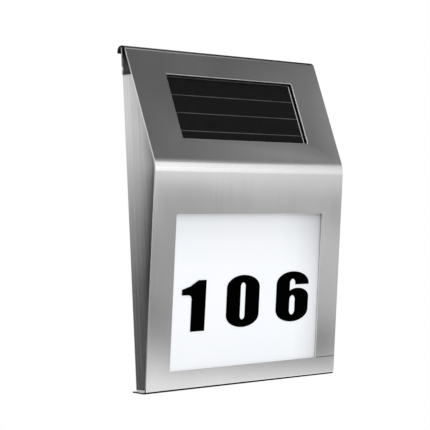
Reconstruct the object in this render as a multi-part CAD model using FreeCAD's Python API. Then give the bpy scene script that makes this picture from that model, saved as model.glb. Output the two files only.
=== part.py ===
"""Illuminated house number sign, wall mounted and solar charged.

A bent stainless hood hangs by the curl along its top edge on the lip of a stainless back plate, and two screws
under its foot lock it. A moulded lamp housing is clamped behind the hood. It holds the solar panel in the slope,
the opal number panel in the face, the light box behind that, and the battery and control board under the bend.

Millimetres. X to the right as the sign is read, Y into the wall, Z up. The wall is the plane Y = 0, and the
origin is the centre of the four wall screws. Depths are measured out from the wall and heights up from the
sign's lowest line, and export() moves the whole sign down to the origin.
"""

import FreeCAD, Part
import math
import os

Vector = FreeCAD.Vector
Placement = FreeCAD.Placement
Rotation = FreeCAD.Rotation
X_AXIS = Vector(1, 0, 0)

# ---------------------------------------------------------------- sizes of the whole sign
overall_width = 180.0
overall_height = 200.0
overall_depth = 28.0          # from the wall to the foremost line of the bend
sheet = 0.8                   # stainless sheet of the hood and of the back plate

# the hood's side view
bend_below_top = 71.5         # the foremost line of the bend
bend_radius = 20.0            # outside
curl_depth = 5.82             # wall to the centre of the curl along the top edge
curl_radius = 3.3             # outside
curl_tail = 1.2               # straight end of the curl, behind the lip
corner_depth = 11.62          # wall to the centre of the bend between the face and the foot flange
corner_radius = 1.6           # outside
flange_length = 8.4           # straight part of the foot flange

# windows: the stiles beside them, the rails, and their distance from the crest, where the leaves' planes meet
solar_stile = 30.0
solar_window_height = 40.0
solar_window_above_crest = 16.5
number_stile = 20.0
number_rail = 11.7            # below the window
number_window_below_crest = 28.5
window_corner = 0.6

# back plate
plate_standoff = 3.6          # wall to the back of the plate, which is the depth of the pressed cups
plate_side_gap = 1.8          # the wings stand in from the hood's edges by this much
plate_bend = 0.5              # inside radius of every fold in the plate
wing_gap = 0.45               # wing edges to the inside of the hood
foot_gap = 0.45               # wings and tabs to the foot flange
web_cut = 1.9                 # the web ends this far above the tabs' undersides
lip_height = 15.9             # wings' top to the lip's top
lip_side_gap = 0.6            # the lip is nearly as wide as the hood
lip_corner_across = 1.8       # its lower corners are clipped
lip_corner_up = 4.9
lip_setback = 0.52            # curl's centre to the middle of the lip's sheet
lip_step_angle = 35.0         # of the joggle that brings the lip forward
lip_clearance = 0.12          # lip's top edge to the inside of the curl
fixing_spacing_x = 120.0
fixing_spacing_z = 110.0
fixing_centre_height = 100.0
fixing_hole_radius = 2.25
cup_floor_radius = 7.0
cup_rim_radius = 10.0

# locking screws under the foot
lock_spacing = 110.0
lock_from_plate = 2.8         # front of the plate to the screw axis, at the foot
tab_width = 16.0
tab_past_screw = 3.4
m3_radius = 1.5
m3_clearance = 0.2
m3_head_radius = 2.75         # countersunk, flush with the foot's underside
m3_head_height = 1.25
m3_past_nut = 0.4
m3_nut_across_flats = 5.5
m3_nut_height = 2.4           # on the studs
lock_nut_height = 1.8
slot_clearance = 0.12

# studs welded to the hood's back, which clamp the lamp housing
stud_from_edge = 4.3          # edge of the housing's brim to the studs
stud_above_foot = 27.0
stud_above_crest = 44.0
stud_collar_across_flats = 5.5
stud_past_nut = 0.8

# lamp housing
case_gap = 0.5                # foam thickness between the hood and the housing
case_wall = 1.6
case_from_plate = 1.0         # back plate to the back of the housing
case_past_panel = 3.0         # the housing's sides stand out past the number panel
case_below_wing_top = 1.5
brim_side_gap = 1.8           # brim to the wings
brim_below_curl = 7.7
brim_corner_room = 2.25       # past the solar pocket, where the brim steps down
brim_corner_below_wing_top = 0.6
brim_thickness = 2.0
pocket_clearance = 0.15       # round the panels in their pockets
pocket_ledge = 1.2            # thickness of the ledge behind the panels
light_headroom = 6.9          # top of the number window to the floor of the electronics bay

# solar panel
cell_count = 4
cell_pitch = 11.25
cell_side_margin = 1.2        # window edge to the cells
cell_top_margin = 0.7
ribbon_width = 0.5
solar_board_margin = 2.0      # the board stands out past the cells or the window
solar_board_thickness = 1.6
cell_thickness = 0.2
cell_setback = 2.4            # hood's outer face to the front of the cells
wire_opening_margin = 22.0    # edge of the board to the opening behind it
wire_opening_rim = 12.0

# number panel and numerals
number_panel_overlap = 2.0    # past the window's top and bottom
number_panel_side_overlap = 4.0
number_panel_thickness = 2.5
numeral_height = 32.0
numeral_width = 31.5
numeral_thickness = 0.4
numeral_above_window_foot = 22.3
numeral_corner = 11.5
one_width = 22.4
one_stem = 13.1
counter_width = 5.2           # slot in the middle of the nought and the six
numeral_left_margin = 8.7     # window edge to the one
numeral_right_margin = 10.15  # six to the window edge
zero_shift = -4.9             # middle of the nought, from the middle of the window

# lights
led_count = 6
led_row_margin = 10.0         # end of the board to the first LED
led_size = 5.0
led_height = 1.6
led_board_gap = 0.3           # board to the ledge behind the number panel
led_board_end_room = 10.4     # side wall to the board's end
led_board_depth = 8.0
led_board_thickness = 1.0
led_rib = 1.4                 # the board's ends slide into ribs of this thickness
led_rib_overlap = 3.0
led_board_clearance = 0.1
led_lead_inset = 1.6
reflector_thickness = 0.5
reflector_gap = 0.2

# battery, an AA cell, with its trough, contacts and door
battery_radius = 7.1
battery_length = 49.3
battery_nub_radius = 2.75
battery_nub_length = 1.2
battery_end_room = 13.6       # side wall to the cell's flat end
battery_above_floor = 12.4    # bay floor to the cell's axis
battery_door_gap = 0.6
trough_wall = 1.4
trough_clearance = 0.5
contact_sheet = 0.4
contact_corner_gap = 0.25     # corners of the square contact to the trough
contact_tab_width = 3.0
contact_tab_past_wall = 3.2
contact_clearance = 0.1
spring_space = 4.2
leaf_width = 5.0              # bent leaf that presses on the cell's flat end
leaf_lean = 22.0              # degrees from the contact's plate
leaf_fold = 0.5               # inside radius at the leaf's root
leaf_crest = 1.6              # inside radius at the leaf's crest
leaf_tail = 2.0
door_end_overlap = 1.25       # past the trough
door_side_overlap = 1.9       # past the trough, over the tongues
door_thickness = 1.2
door_tongue = 1.0             # how far the tongues stand out
door_tongue_thickness = 0.6
door_tongue_length = 6.0
door_tongue_pitch = 22.0
door_travel = 8.0
door_clearance = 0.15
door_ribs = 5
door_rib_width = 1.0
door_rib_pitch = 2.4
door_rib_height = 0.35
door_rib_margin = 2.5

# control board and switch
board_end_room = 9.4          # side wall to the board
board_above_floor = 3.9
board_length = 58.0
board_height = 28.0
board_thickness = 1.6
board_hole_inset = 3.5
post_size = 5.2
m2_radius = 1.0
m2_clearance = 0.1
m2_head_radius = 1.9
m2_head_height = 1.3
m2_grip = 3.0                 # thread below the board
m2_tip_gap = 0.4
switch_along, switch_up = 32.0, 11.5          # from the board's lower left corner, as for all its parts
switch_length = 8.6
switch_width = 4.4
switch_thickness = 3.5
switch_gap = 0.1              # switch to the pocket's floor
knob_length = 2.0
knob_width = 1.8
knob_travel = 2.0
knob_clearance = 0.2
knob_root = 1.0               # part of the knob inside the switch
knob_recess = 0.5             # the knob's tip stays below the housing's back
switch_pocket_length = 16.0
switch_pocket_width = 9.0
switch_pocket_depth = 2.0
switch_pocket_floor = 1.0
chip_along, chip_up = 46.0, 11.5
chip_length, chip_width, chip_thickness = 4.9, 3.9, 1.5
chip_leg_pitch = 1.27
inductor_along, inductor_up = 16.0, 11.5
inductor_radius, inductor_length = 4.0, 5.0
capacitor_along, capacitor_up, capacitor_pitch = 26.0, 8.0, 10.0
capacitor_radius, capacitor_length = 3.15, 7.5

lead_radius = 0.6
solar_lead_along = (8.4, 12.4)                # red, black
solar_lead_end = 4.0                          # below the control board's top edge
led_lead_along = (38.0, 42.0)
battery_lead_rise = (1.8, 4.2)                # above the trough
lead_on_board = 5.0
lead_hole_clearance = 0.3


# ---------------------------------------------------------------- drawing helpers
def at(depth, height, x=0.0):
    """A point given by its depth out from the wall and its height above the sign's lowest line."""
    return Vector(x, -depth, height)


def ray(angle):
    """Unit vector in the side view: 0 degrees points out from the wall and 90 degrees points up."""
    a = math.radians(angle)
    return Vector(0, -math.cos(a), math.sin(a))


def block(x0, x1, depth0, depth1, height0, height1):
    """A box square to the wall."""
    return Part.makeBox(x1 - x0, depth1 - depth0, height1 - height0, at(depth1, height0, x0))


def leaf_block(leaf, x0, x1, in0, in1, up0, up1):
    """A box square to a leaf of the hood: in from its outer face, and up from the crest."""
    box = Part.makeBox(x1 - x0, in1 - in0, up1 - up0, Vector(x0, in0, up0))
    box.Placement = leaf
    return box


def side_prism(edges, x0, x1):
    """A solid with the side view that the edges close, from x0 to x1."""
    face = Part.Face(Part.Wire(edges))
    face.translate(Vector(x0, 0, 0))
    return face.extrude(Vector(x1 - x0, 0, 0))


def polygon(points):
    return [Part.LineSegment(a, b).toShape() for a, b in zip(points, points[1:] + points[:1])]


def fold(start, heading, moves, thickness, turn_to, sweep):
    """Bent sheet. The path runs along the sheet's right-hand side and the sheet lies to the left of it.

    moves are ("run", length) or ("bend", degrees to the left, inside radius). turn_to(angle) gives the unit vector
    of a heading in the plane of the section, and sweep is the vector that the section is pulled along.
    """
    right, left = [], []
    point, angle = start, heading
    for move in moves:
        side = turn_to(angle + 90)
        if move[0] == "run":
            end = point + turn_to(angle) * move[1]
            right.append(Part.LineSegment(point, end).toShape())
            left.append(Part.LineSegment(point + side * thickness, end + side * thickness).toShape())
            point = end
            continue
        degrees, radius = move[1], move[2]
        hand = 1 if degrees > 0 else -1
        outer, inner = (radius + thickness, radius) if hand > 0 else (radius, radius + thickness)
        centre = point + side * hand * outer
        for edges, reach in ((right, outer), (left, inner)):
            stops = [centre + turn_to(angle + turn - 90 * hand) * reach for turn in (0, degrees / 2, degrees)]
            edges.append(Part.Arc(*stops).toShape())
        angle += degrees
        point = centre + turn_to(angle - 90 * hand) * outer
    first_cap = Part.LineSegment(left[0].Vertexes[0].Point, right[0].Vertexes[0].Point).toShape()
    far = turn_to(angle + 90) * thickness
    last_cap = Part.LineSegment(point, point + far).toShape()
    outline = Part.Wire(Part.__sortEdges__([first_cap] + right + [last_cap] + left))
    return Part.Face(outline).extrude(sweep)


def cylinder(radius, length, base, axis):
    return Part.makeCylinder(radius, length, base, axis)


def hex_prism(across_flats, height, base, axis):
    """A hexagonal bar standing on base along axis."""
    radius = across_flats / math.sqrt(3)
    corners = [Vector(radius * math.cos(k * math.pi / 3), radius * math.sin(k * math.pi / 3), 0) for k in range(6)]
    bar = Part.Face(Part.Wire(polygon(corners))).extrude(Vector(0, 0, height))
    bar.Placement = Placement(base, Rotation(Vector(0, 0, 1), axis))
    return bar


def fused(shapes):
    whole = shapes[0]
    for shape in shapes[1:]:
        whole = whole.fuse(shape)
    return whole.removeSplitter()


def mirrored_pair(x):
    return (-x, x)


# ---------------------------------------------------------------- the hood's side view
bend_height = overall_height - bend_below_top
bend_centre = at(overall_depth - bend_radius, bend_height)
curl_centre = at(curl_depth, overall_height - curl_radius)
corner_centre = at(corner_depth, corner_radius)


def leaf_tilt(end_centre, end_radius):
    """Lean in degrees of the flat leaf that runs from the crest bend to a smaller bend at its far end."""
    depth_step = end_centre.y - bend_centre.y
    rise = abs(end_centre.z - bend_centre.z)
    lean = math.asin((bend_radius - end_radius) / math.hypot(depth_step, rise))
    return math.degrees(lean + math.atan2(depth_step, rise))


slope_tilt = leaf_tilt(curl_centre, curl_radius)
face_tilt = leaf_tilt(corner_centre, corner_radius)
half_turn = (slope_tilt + face_tilt) / 2
crest = bend_centre + ray((slope_tilt - face_tilt) / 2) * (bend_radius / math.cos(math.radians(half_turn)))
slope_leaf = Placement(crest, Rotation(X_AXIS, -slope_tilt))
face_leaf = Placement(crest, Rotation(X_AXIS, face_tilt))
face_run = (bend_centre - corner_centre).dot(ray(90 - face_tilt))
slope_run = (curl_centre - bend_centre).dot(ray(90 + slope_tilt))
face_length = (crest - corner_centre).dot(ray(90 - face_tilt)) + corner_radius
foot_start = corner_centre + ray(-90 - face_tilt) * corner_radius
foot_end = foot_start - ray(-face_tilt) * flange_length

# the windows in the leaves
solar_window_width = overall_width - 2 * solar_stile
number_window_width = overall_width - 2 * number_stile
number_window_height = face_length - number_window_below_crest - number_rail
number_top = -number_window_below_crest
number_bottom = number_top - number_window_height


def inside_outline(offset, depth_back, bottom, top):
    """Edges of the region behind the hood, offset in from its outer face, between two heights and a back plane."""
    face_out, slope_out = ray(-face_tilt), ray(slope_tilt)
    reach = bend_radius - offset
    low_tangent = bend_centre + face_out * reach
    high_tangent = bend_centre + slope_out * reach
    middle = bend_centre + ray((slope_tilt - face_tilt) / 2) * reach
    foot = low_tangent - ray(90 - face_tilt) * ((low_tangent.z - bottom) / math.cos(math.radians(face_tilt)))
    head = high_tangent + ray(90 + slope_tilt) * ((top - high_tangent.z) / math.cos(math.radians(slope_tilt)))
    back_low, back_high = at(depth_back, bottom), at(depth_back, top)
    return [
        Part.LineSegment(back_low, foot).toShape(),
        Part.LineSegment(foot, low_tangent).toShape(),
        Part.Arc(low_tangent, middle, high_tangent).toShape(),
        Part.LineSegment(high_tangent, head).toShape(),
        Part.LineSegment(head, back_high).toShape(),
        Part.LineSegment(back_high, back_low).toShape(),
    ]


def front_hood():
    """One bent sheet: foot flange, number face, crest bend, solar slope and the curl that hangs on the lip."""
    start = foot_end + Vector(-overall_width / 2, 0, 0)
    moves = [
        ("run", flange_length),
        ("bend", 90, corner_radius - sheet),
        ("run", face_run),
        ("bend", face_tilt + slope_tilt, bend_radius - sheet),
        ("run", slope_run),
        ("bend", 180 - slope_tilt, curl_radius - sheet),
        ("run", curl_tail),
    ]
    hood = fold(start, -face_tilt, moves, sheet, ray, Vector(overall_width, 0, 0))
    number_window = leaf_block(
        face_leaf, -number_window_width / 2, number_window_width / 2, -1, sheet + 1,
        number_bottom, number_top)
    solar_window = leaf_block(
        slope_leaf, -solar_window_width / 2, solar_window_width / 2, -1, sheet + 1,
        solar_window_above_crest, solar_window_above_crest + solar_window_height)
    for window in (number_window, solar_window):
        across = [e for e in window.Edges if abs(e.Length - (sheet + 2)) < 1e-6]
        hood = hood.cut(window.makeFillet(window_corner, across))
    for x in mirrored_pair(lock_spacing / 2):
        hood = hood.cut(lock_slot(x))
    return hood


def foot_frame(x):
    """Placement on the foot flange's underside below a lock screw, with Z along the screw, upwards."""
    back = (-foot_start.y - lock_depth) / math.cos(math.radians(face_tilt))
    point = foot_start - ray(-face_tilt) * back
    return Placement(Vector(x, point.y, point.z), Rotation(X_AXIS, face_tilt))


def lock_slot(x):
    """Countersunk slot, open at the flange's back edge, so that the hood swings off a slack screw."""
    below, above = 0.5, 2 * sheet
    wide = m3_head_radius + slot_clearance
    narrow = m3_radius + m3_clearance
    long_way = flange_length + corner_radius
    cone = Part.makeCone(wide + below, wide - above, below + above, Vector(0, 0, -below))
    section = polygon([Vector(-wide - below, 0, -below), Vector(wide + below, 0, -below),
                       Vector(wide - above, 0, above), Vector(above - wide, 0, above)])
    channel = Part.Face(Part.Wire(section)).extrude(Vector(0, long_way, 0))
    shank = Part.makeCylinder(narrow, below + above, Vector(0, 0, -below))
    passage = Part.makeBox(2 * narrow, long_way, below + above, Vector(-narrow, 0, -below))
    slot = fused([cone, channel, shank, passage])
    slot.Placement = foot_frame(x)
    return slot


# ---------------------------------------------------------------- back plate
wing_outside = overall_width / 2 - plate_side_gap
plate_front = plate_standoff + sheet
lip_back = curl_depth - lip_setback - sheet / 2
lip_step = lip_back - plate_standoff
lip_reach = lip_setback + sheet / 2
lip_top = curl_centre.z + math.sqrt((curl_radius - sheet) ** 2 - lip_reach ** 2) - lip_clearance
wing_top = lip_top - lip_height
wing_bottom = (foot_end + ray(90 - face_tilt) * sheet).z + foot_gap
tab_underside = wing_bottom
web_bottom = tab_underside + web_cut
lock_depth = plate_front + lock_from_plate
tab_depth = lock_depth + tab_past_screw


def plan_ray(angle):
    """Unit vector seen from above: 0 degrees points to +X and 90 degrees points out from the wall."""
    a = math.radians(angle)
    return Vector(math.cos(a), -math.sin(a), 0)


def back_plate():
    """Folded tray: web, two wedge wings, a joggled lip along the top, two slotted tabs and four pressed cups."""
    fold_radius = plate_bend + sheet
    wing_run = overall_depth - plate_standoff - fold_radius
    moves = [
        ("run", wing_run),
        ("bend", 90, plate_bend),
        ("run", 2 * (wing_outside - fold_radius)),
        ("bend", 90, plate_bend),
        ("run", wing_run),
    ]
    start = at(overall_depth, wing_bottom, -wing_outside)
    tray = fold(start, -90, moves, sheet, plan_ray, Vector(0, 0, wing_top - wing_bottom))
    wedge = side_prism(
        inside_outline(sheet + wing_gap, 0, wing_bottom, wing_top), -overall_width, overall_width)
    tray = tray.common(wedge)
    notch = wing_outside - 2 * fold_radius
    tray = tray.cut(block(-notch, notch, 0, plate_front + 1, wing_bottom - 1, web_bottom))

    slant = math.radians(lip_step_angle)
    joggle_run = (lip_step - (2 * plate_bend + sheet) * (1 - math.cos(slant))) / math.sin(slant)
    lip_width = overall_width - 2 * lip_side_gap
    joggle_rise = joggle_run * math.cos(slant) + (2 * plate_bend + sheet) * math.sin(slant)
    lip_moves = [
        ("run", fold_radius),
        ("bend", -lip_step_angle, plate_bend),
        ("run", joggle_run),
        ("bend", lip_step_angle, plate_bend),
        ("run", lip_top - wing_top - fold_radius - joggle_rise),
    ]
    lip = fold(at(plate_front, wing_top, -lip_width / 2), 90, lip_moves, sheet, ray, Vector(lip_width, 0, 0))
    for side in (-1, 1):
        corner = polygon([
            at(0, wing_top, side * (lip_width / 2 - lip_corner_across)), at(0, wing_top - 1, side * overall_width),
            at(0, wing_top + lip_corner_up, side * overall_width), at(0, wing_top + lip_corner_up, side * lip_width / 2),
        ])
        lip = lip.cut(Part.Face(Part.Wire(corner)).extrude(at(overall_depth, 0)))
    tray = tray.fuse(lip)

    tab_moves = [
        ("run", tab_depth - plate_front - plate_bend),
        ("bend", -90, plate_bend),
        ("run", web_bottom),
    ]
    for x in mirrored_pair(lock_spacing / 2):
        start = at(tab_depth, tab_underside + sheet, x - tab_width / 2)
        tray = tray.fuse(fold(start, 180, tab_moves, sheet, ray, Vector(tab_width, 0, 0)))
        tray = tray.cut(screw_hole(x))

    for x in mirrored_pair(fixing_spacing_x / 2):
        for rise in mirrored_pair(fixing_spacing_z / 2):
            tray = pressed_cup(tray, x, fixing_centre_height + rise)
    return tray.removeSplitter()


def pressed_cup(tray, x, height):
    """Presses a cup back to the wall in the web, with the wall screw's hole in its floor."""
    out = Vector(0, -1, 0)
    wall_point = at(0, height, x)
    slope = (cup_rim_radius - cup_floor_radius) / plate_standoff
    draw = sheet * (math.sqrt(1 + slope ** 2) - slope)
    outside = Part.makeCone(cup_floor_radius, cup_rim_radius, plate_standoff, wall_point, out)
    rim = cup_rim_radius - draw + slope * sheet
    inside = Part.makeCone(cup_floor_radius - draw, rim, plate_standoff, at(sheet, height, x), out)
    hole = cylinder(fixing_hole_radius, plate_standoff, wall_point + Vector(0, 1, 0), out)
    return tray.fuse(outside).cut(inside).cut(hole)


def screw_hole(x):
    """Close hole through a tab for the locking screw."""
    hole = Part.makeCylinder(m3_radius, 8 * sheet)
    hole.Placement = foot_frame(x)
    return hole


def nut_rise(x):
    """Height of a lock nut's underside above the foot's underside, along the screw."""
    frame = foot_frame(x)
    rise = (tab_underside + sheet - frame.Base.z) / math.cos(math.radians(face_tilt))
    return rise + m3_nut_across_flats / math.sqrt(3) * math.tan(math.radians(face_tilt))


def lock_screws():
    """Two countersunk screws up through the foot's slots and the tabs."""
    screws = []
    for x in mirrored_pair(lock_spacing / 2):
        head = Part.makeCone(m3_head_radius, m3_radius, m3_head_height)
        shank = Part.makeCylinder(m3_radius, nut_rise(x) + lock_nut_height + m3_past_nut)
        screw = head.fuse(shank)
        screw.Placement = foot_frame(x)
        screws.append(screw)
    return Part.makeCompound(screws)


def lock_nuts():
    """Hexagon nuts welded on the tabs."""
    nuts = []
    for x in mirrored_pair(lock_spacing / 2):
        nut = hex_prism(m3_nut_across_flats, lock_nut_height, Vector(0, 0, nut_rise(x)), Vector(0, 0, 1))
        nut = nut.cut(Part.makeCylinder(m3_radius, nut_rise(x) + 2 * lock_nut_height))
        nut.Placement = foot_frame(x)
        nuts.append(nut)
    return Part.makeCompound(nuts)


# ---------------------------------------------------------------- studs on the hood
housing_skin = sheet + case_gap          # hood's outer face to the front of the housing
brim_half_width = wing_outside - sheet - brim_side_gap
stud_x = brim_half_width - stud_from_edge
into_the_sign = Vector(0, 1, 0)


def stud_seats():
    """Leaf, x and height on the leaf of every stud."""
    seats = []
    for x in mirrored_pair(stud_x):
        seats += [(face_leaf, x, stud_above_foot - face_length), (slope_leaf, x, stud_above_crest)]
    return seats


def on_leaf(shape, leaf, x, up):
    """Places a shape that stands on the origin along +Y, so that it stands on a leaf's outer face."""
    shape.Placement = leaf.multiply(Placement(Vector(x, 0, up), Rotation())).multiply(shape.Placement)
    return shape


def housing_studs():
    """Threaded studs welded to the hood, each with a collar that keeps the housing off the sheet."""
    studs = []
    reach = case_gap + brim_thickness + m3_nut_height + stud_past_nut
    for leaf, x, up in stud_seats():
        stud = cylinder(m3_radius, reach, Vector(0, sheet, 0), into_the_sign)
        collar = hex_prism(stud_collar_across_flats, case_gap, Vector(0, sheet, 0), into_the_sign)
        studs.append(on_leaf(stud.fuse(collar), leaf, x, up))
    return Part.makeCompound(studs)


def stud_nuts():
    nuts = []
    for leaf, x, up in stud_seats():
        base = Vector(0, housing_skin + brim_thickness, 0)
        nut = hex_prism(m3_nut_across_flats, m3_nut_height, base, into_the_sign)
        nut = nut.cut(cylinder(m3_radius, 4 * m3_nut_height, Vector(0, 0, 0), into_the_sign))
        nuts.append(on_leaf(nut, leaf, x, up))
    return Part.makeCompound(nuts)


# ---------------------------------------------------------------- lamp housing
one_centre = numeral_left_margin + (one_width - number_window_width) / 2
six_centre = (number_window_width - numeral_width) / 2 - numeral_right_margin
panel_half = number_window_width / 2 + number_panel_side_overlap
panel_foot = number_bottom - number_panel_overlap
panel_head = number_top + number_panel_overlap
case_back = plate_front + case_from_plate         # wall to the back of the housing
case_half_width = panel_half + case_past_panel
case_inside = case_half_width - case_wall
case_bottom = face_leaf.multVec(Vector(0, housing_skin, panel_foot - pocket_clearance)).z - case_wall
case_top = wing_top - case_below_wing_top
brim_top = curl_centre.z - brim_below_curl
bay_floor = face_leaf.multVec(Vector(0, 0, number_top)).z + light_headroom
bay_bottom = bay_floor - case_wall                # underside of the partition

cell_row_width = solar_window_width - 2 * cell_side_margin
cell_top_above_crest = solar_window_above_crest + solar_window_height - cell_top_margin
cell_bottom_above_crest = cell_top_above_crest - cell_count * cell_pitch
solar_board_width = solar_window_width + 2 * solar_board_margin
solar_board_top = cell_top_above_crest + solar_board_margin
solar_board_bottom = cell_bottom_above_crest - solar_board_margin
solar_board_front = cell_setback + cell_thickness

panel_ledge_back = housing_skin + number_panel_thickness + pocket_ledge
led_board_front = -face_leaf.multVec(Vector(0, panel_ledge_back, number_top)).y - led_board_gap
led_depth = led_board_front - led_board_depth / 2  # wall to the row of LEDs
led_board_width = 2 * (case_inside - led_board_end_room)
led_pitch = (led_board_width - 2 * led_row_margin - led_size) / (led_count - 1)
led_lead_depth = led_board_front - led_lead_inset
led_board_underside = bay_bottom - led_board_thickness

trough_bore = battery_radius + trough_clearance
battery_left = battery_end_room - case_inside
battery_height = bay_floor + battery_above_floor
trough_left = battery_left - spring_space - contact_sheet
trough_right = battery_left + battery_length + battery_nub_length + contact_sheet
trough_middle = (trough_left + trough_right) / 2
trough_top = battery_height + trough_bore + trough_wall
contact_size = math.sqrt(2) * (trough_bore - contact_corner_gap)
door_length = trough_right - trough_left + 2 * door_end_overlap
door_height = 2 * (trough_bore + door_side_overlap)
door_left = trough_middle - door_length / 2
door_back = case_back + door_clearance            # wall to the door's outer face
recess_back = case_back + door_thickness + 2 * door_clearance
battery_depth = recess_back + battery_door_gap + battery_radius
rail_skin = door_thickness + door_clearance - door_tongue_thickness

board_left = case_inside - board_end_room - board_length
board_bottom = bay_floor + board_above_floor
board_top = board_bottom + board_height
board_back = case_back + switch_pocket_depth + switch_pocket_floor + switch_gap + switch_thickness
board_front = board_back + board_thickness
switch_x, switch_height = board_left + switch_along, board_bottom + switch_up
switch_top = board_back - switch_thickness
knob_tip_depth = case_back + knob_recess
lead_depth = board_front + lead_radius            # a lead that lies on the control board's face


def behind(offset, back, bottom, top, half_width):
    return side_prism(inside_outline(offset, back, bottom, top), -half_width, half_width)


def tongue_starts():
    """Left ends of the door's tongues."""
    return [trough_middle + k * door_tongue_pitch - door_tongue_length / 2 - door_travel / 2 for k in (-1, 0, 1)]


def board_corners():
    """Centres of the four posts. The first and the last take the screws."""
    left, right = board_left + board_hole_inset, board_left + board_length - board_hole_inset
    low, high = board_bottom + board_hole_inset, board_top - board_hole_inset
    return [(x, height) for x in (left, right) for height in (low, high)]


def board_holes():
    corners = board_corners()
    return [corners[0], corners[-1]]


def led_ribs():
    """Ribs at both ends of the LED board, each with a groove that the board slides into from the front."""
    ribs, grooves = [], []
    slack = led_board_clearance
    for side in (-1, 1):
        near = side * (led_board_width / 2 - led_rib_overlap)
        far = side * (led_board_width / 2 + led_rib)
        end = side * (led_board_width / 2 + slack)
        back, front = led_depth - led_board_depth / 2, led_depth + led_board_depth / 2
        ribs.append(block(min(near, far), max(near, far), case_back, front,
                          led_board_underside - slack - led_rib, bay_bottom))
        grooves.append(block(min(near - side, end), max(near - side, end), back - slack, front + 1,
                             led_board_underside - slack, bay_bottom))
    return ribs, grooves


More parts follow.
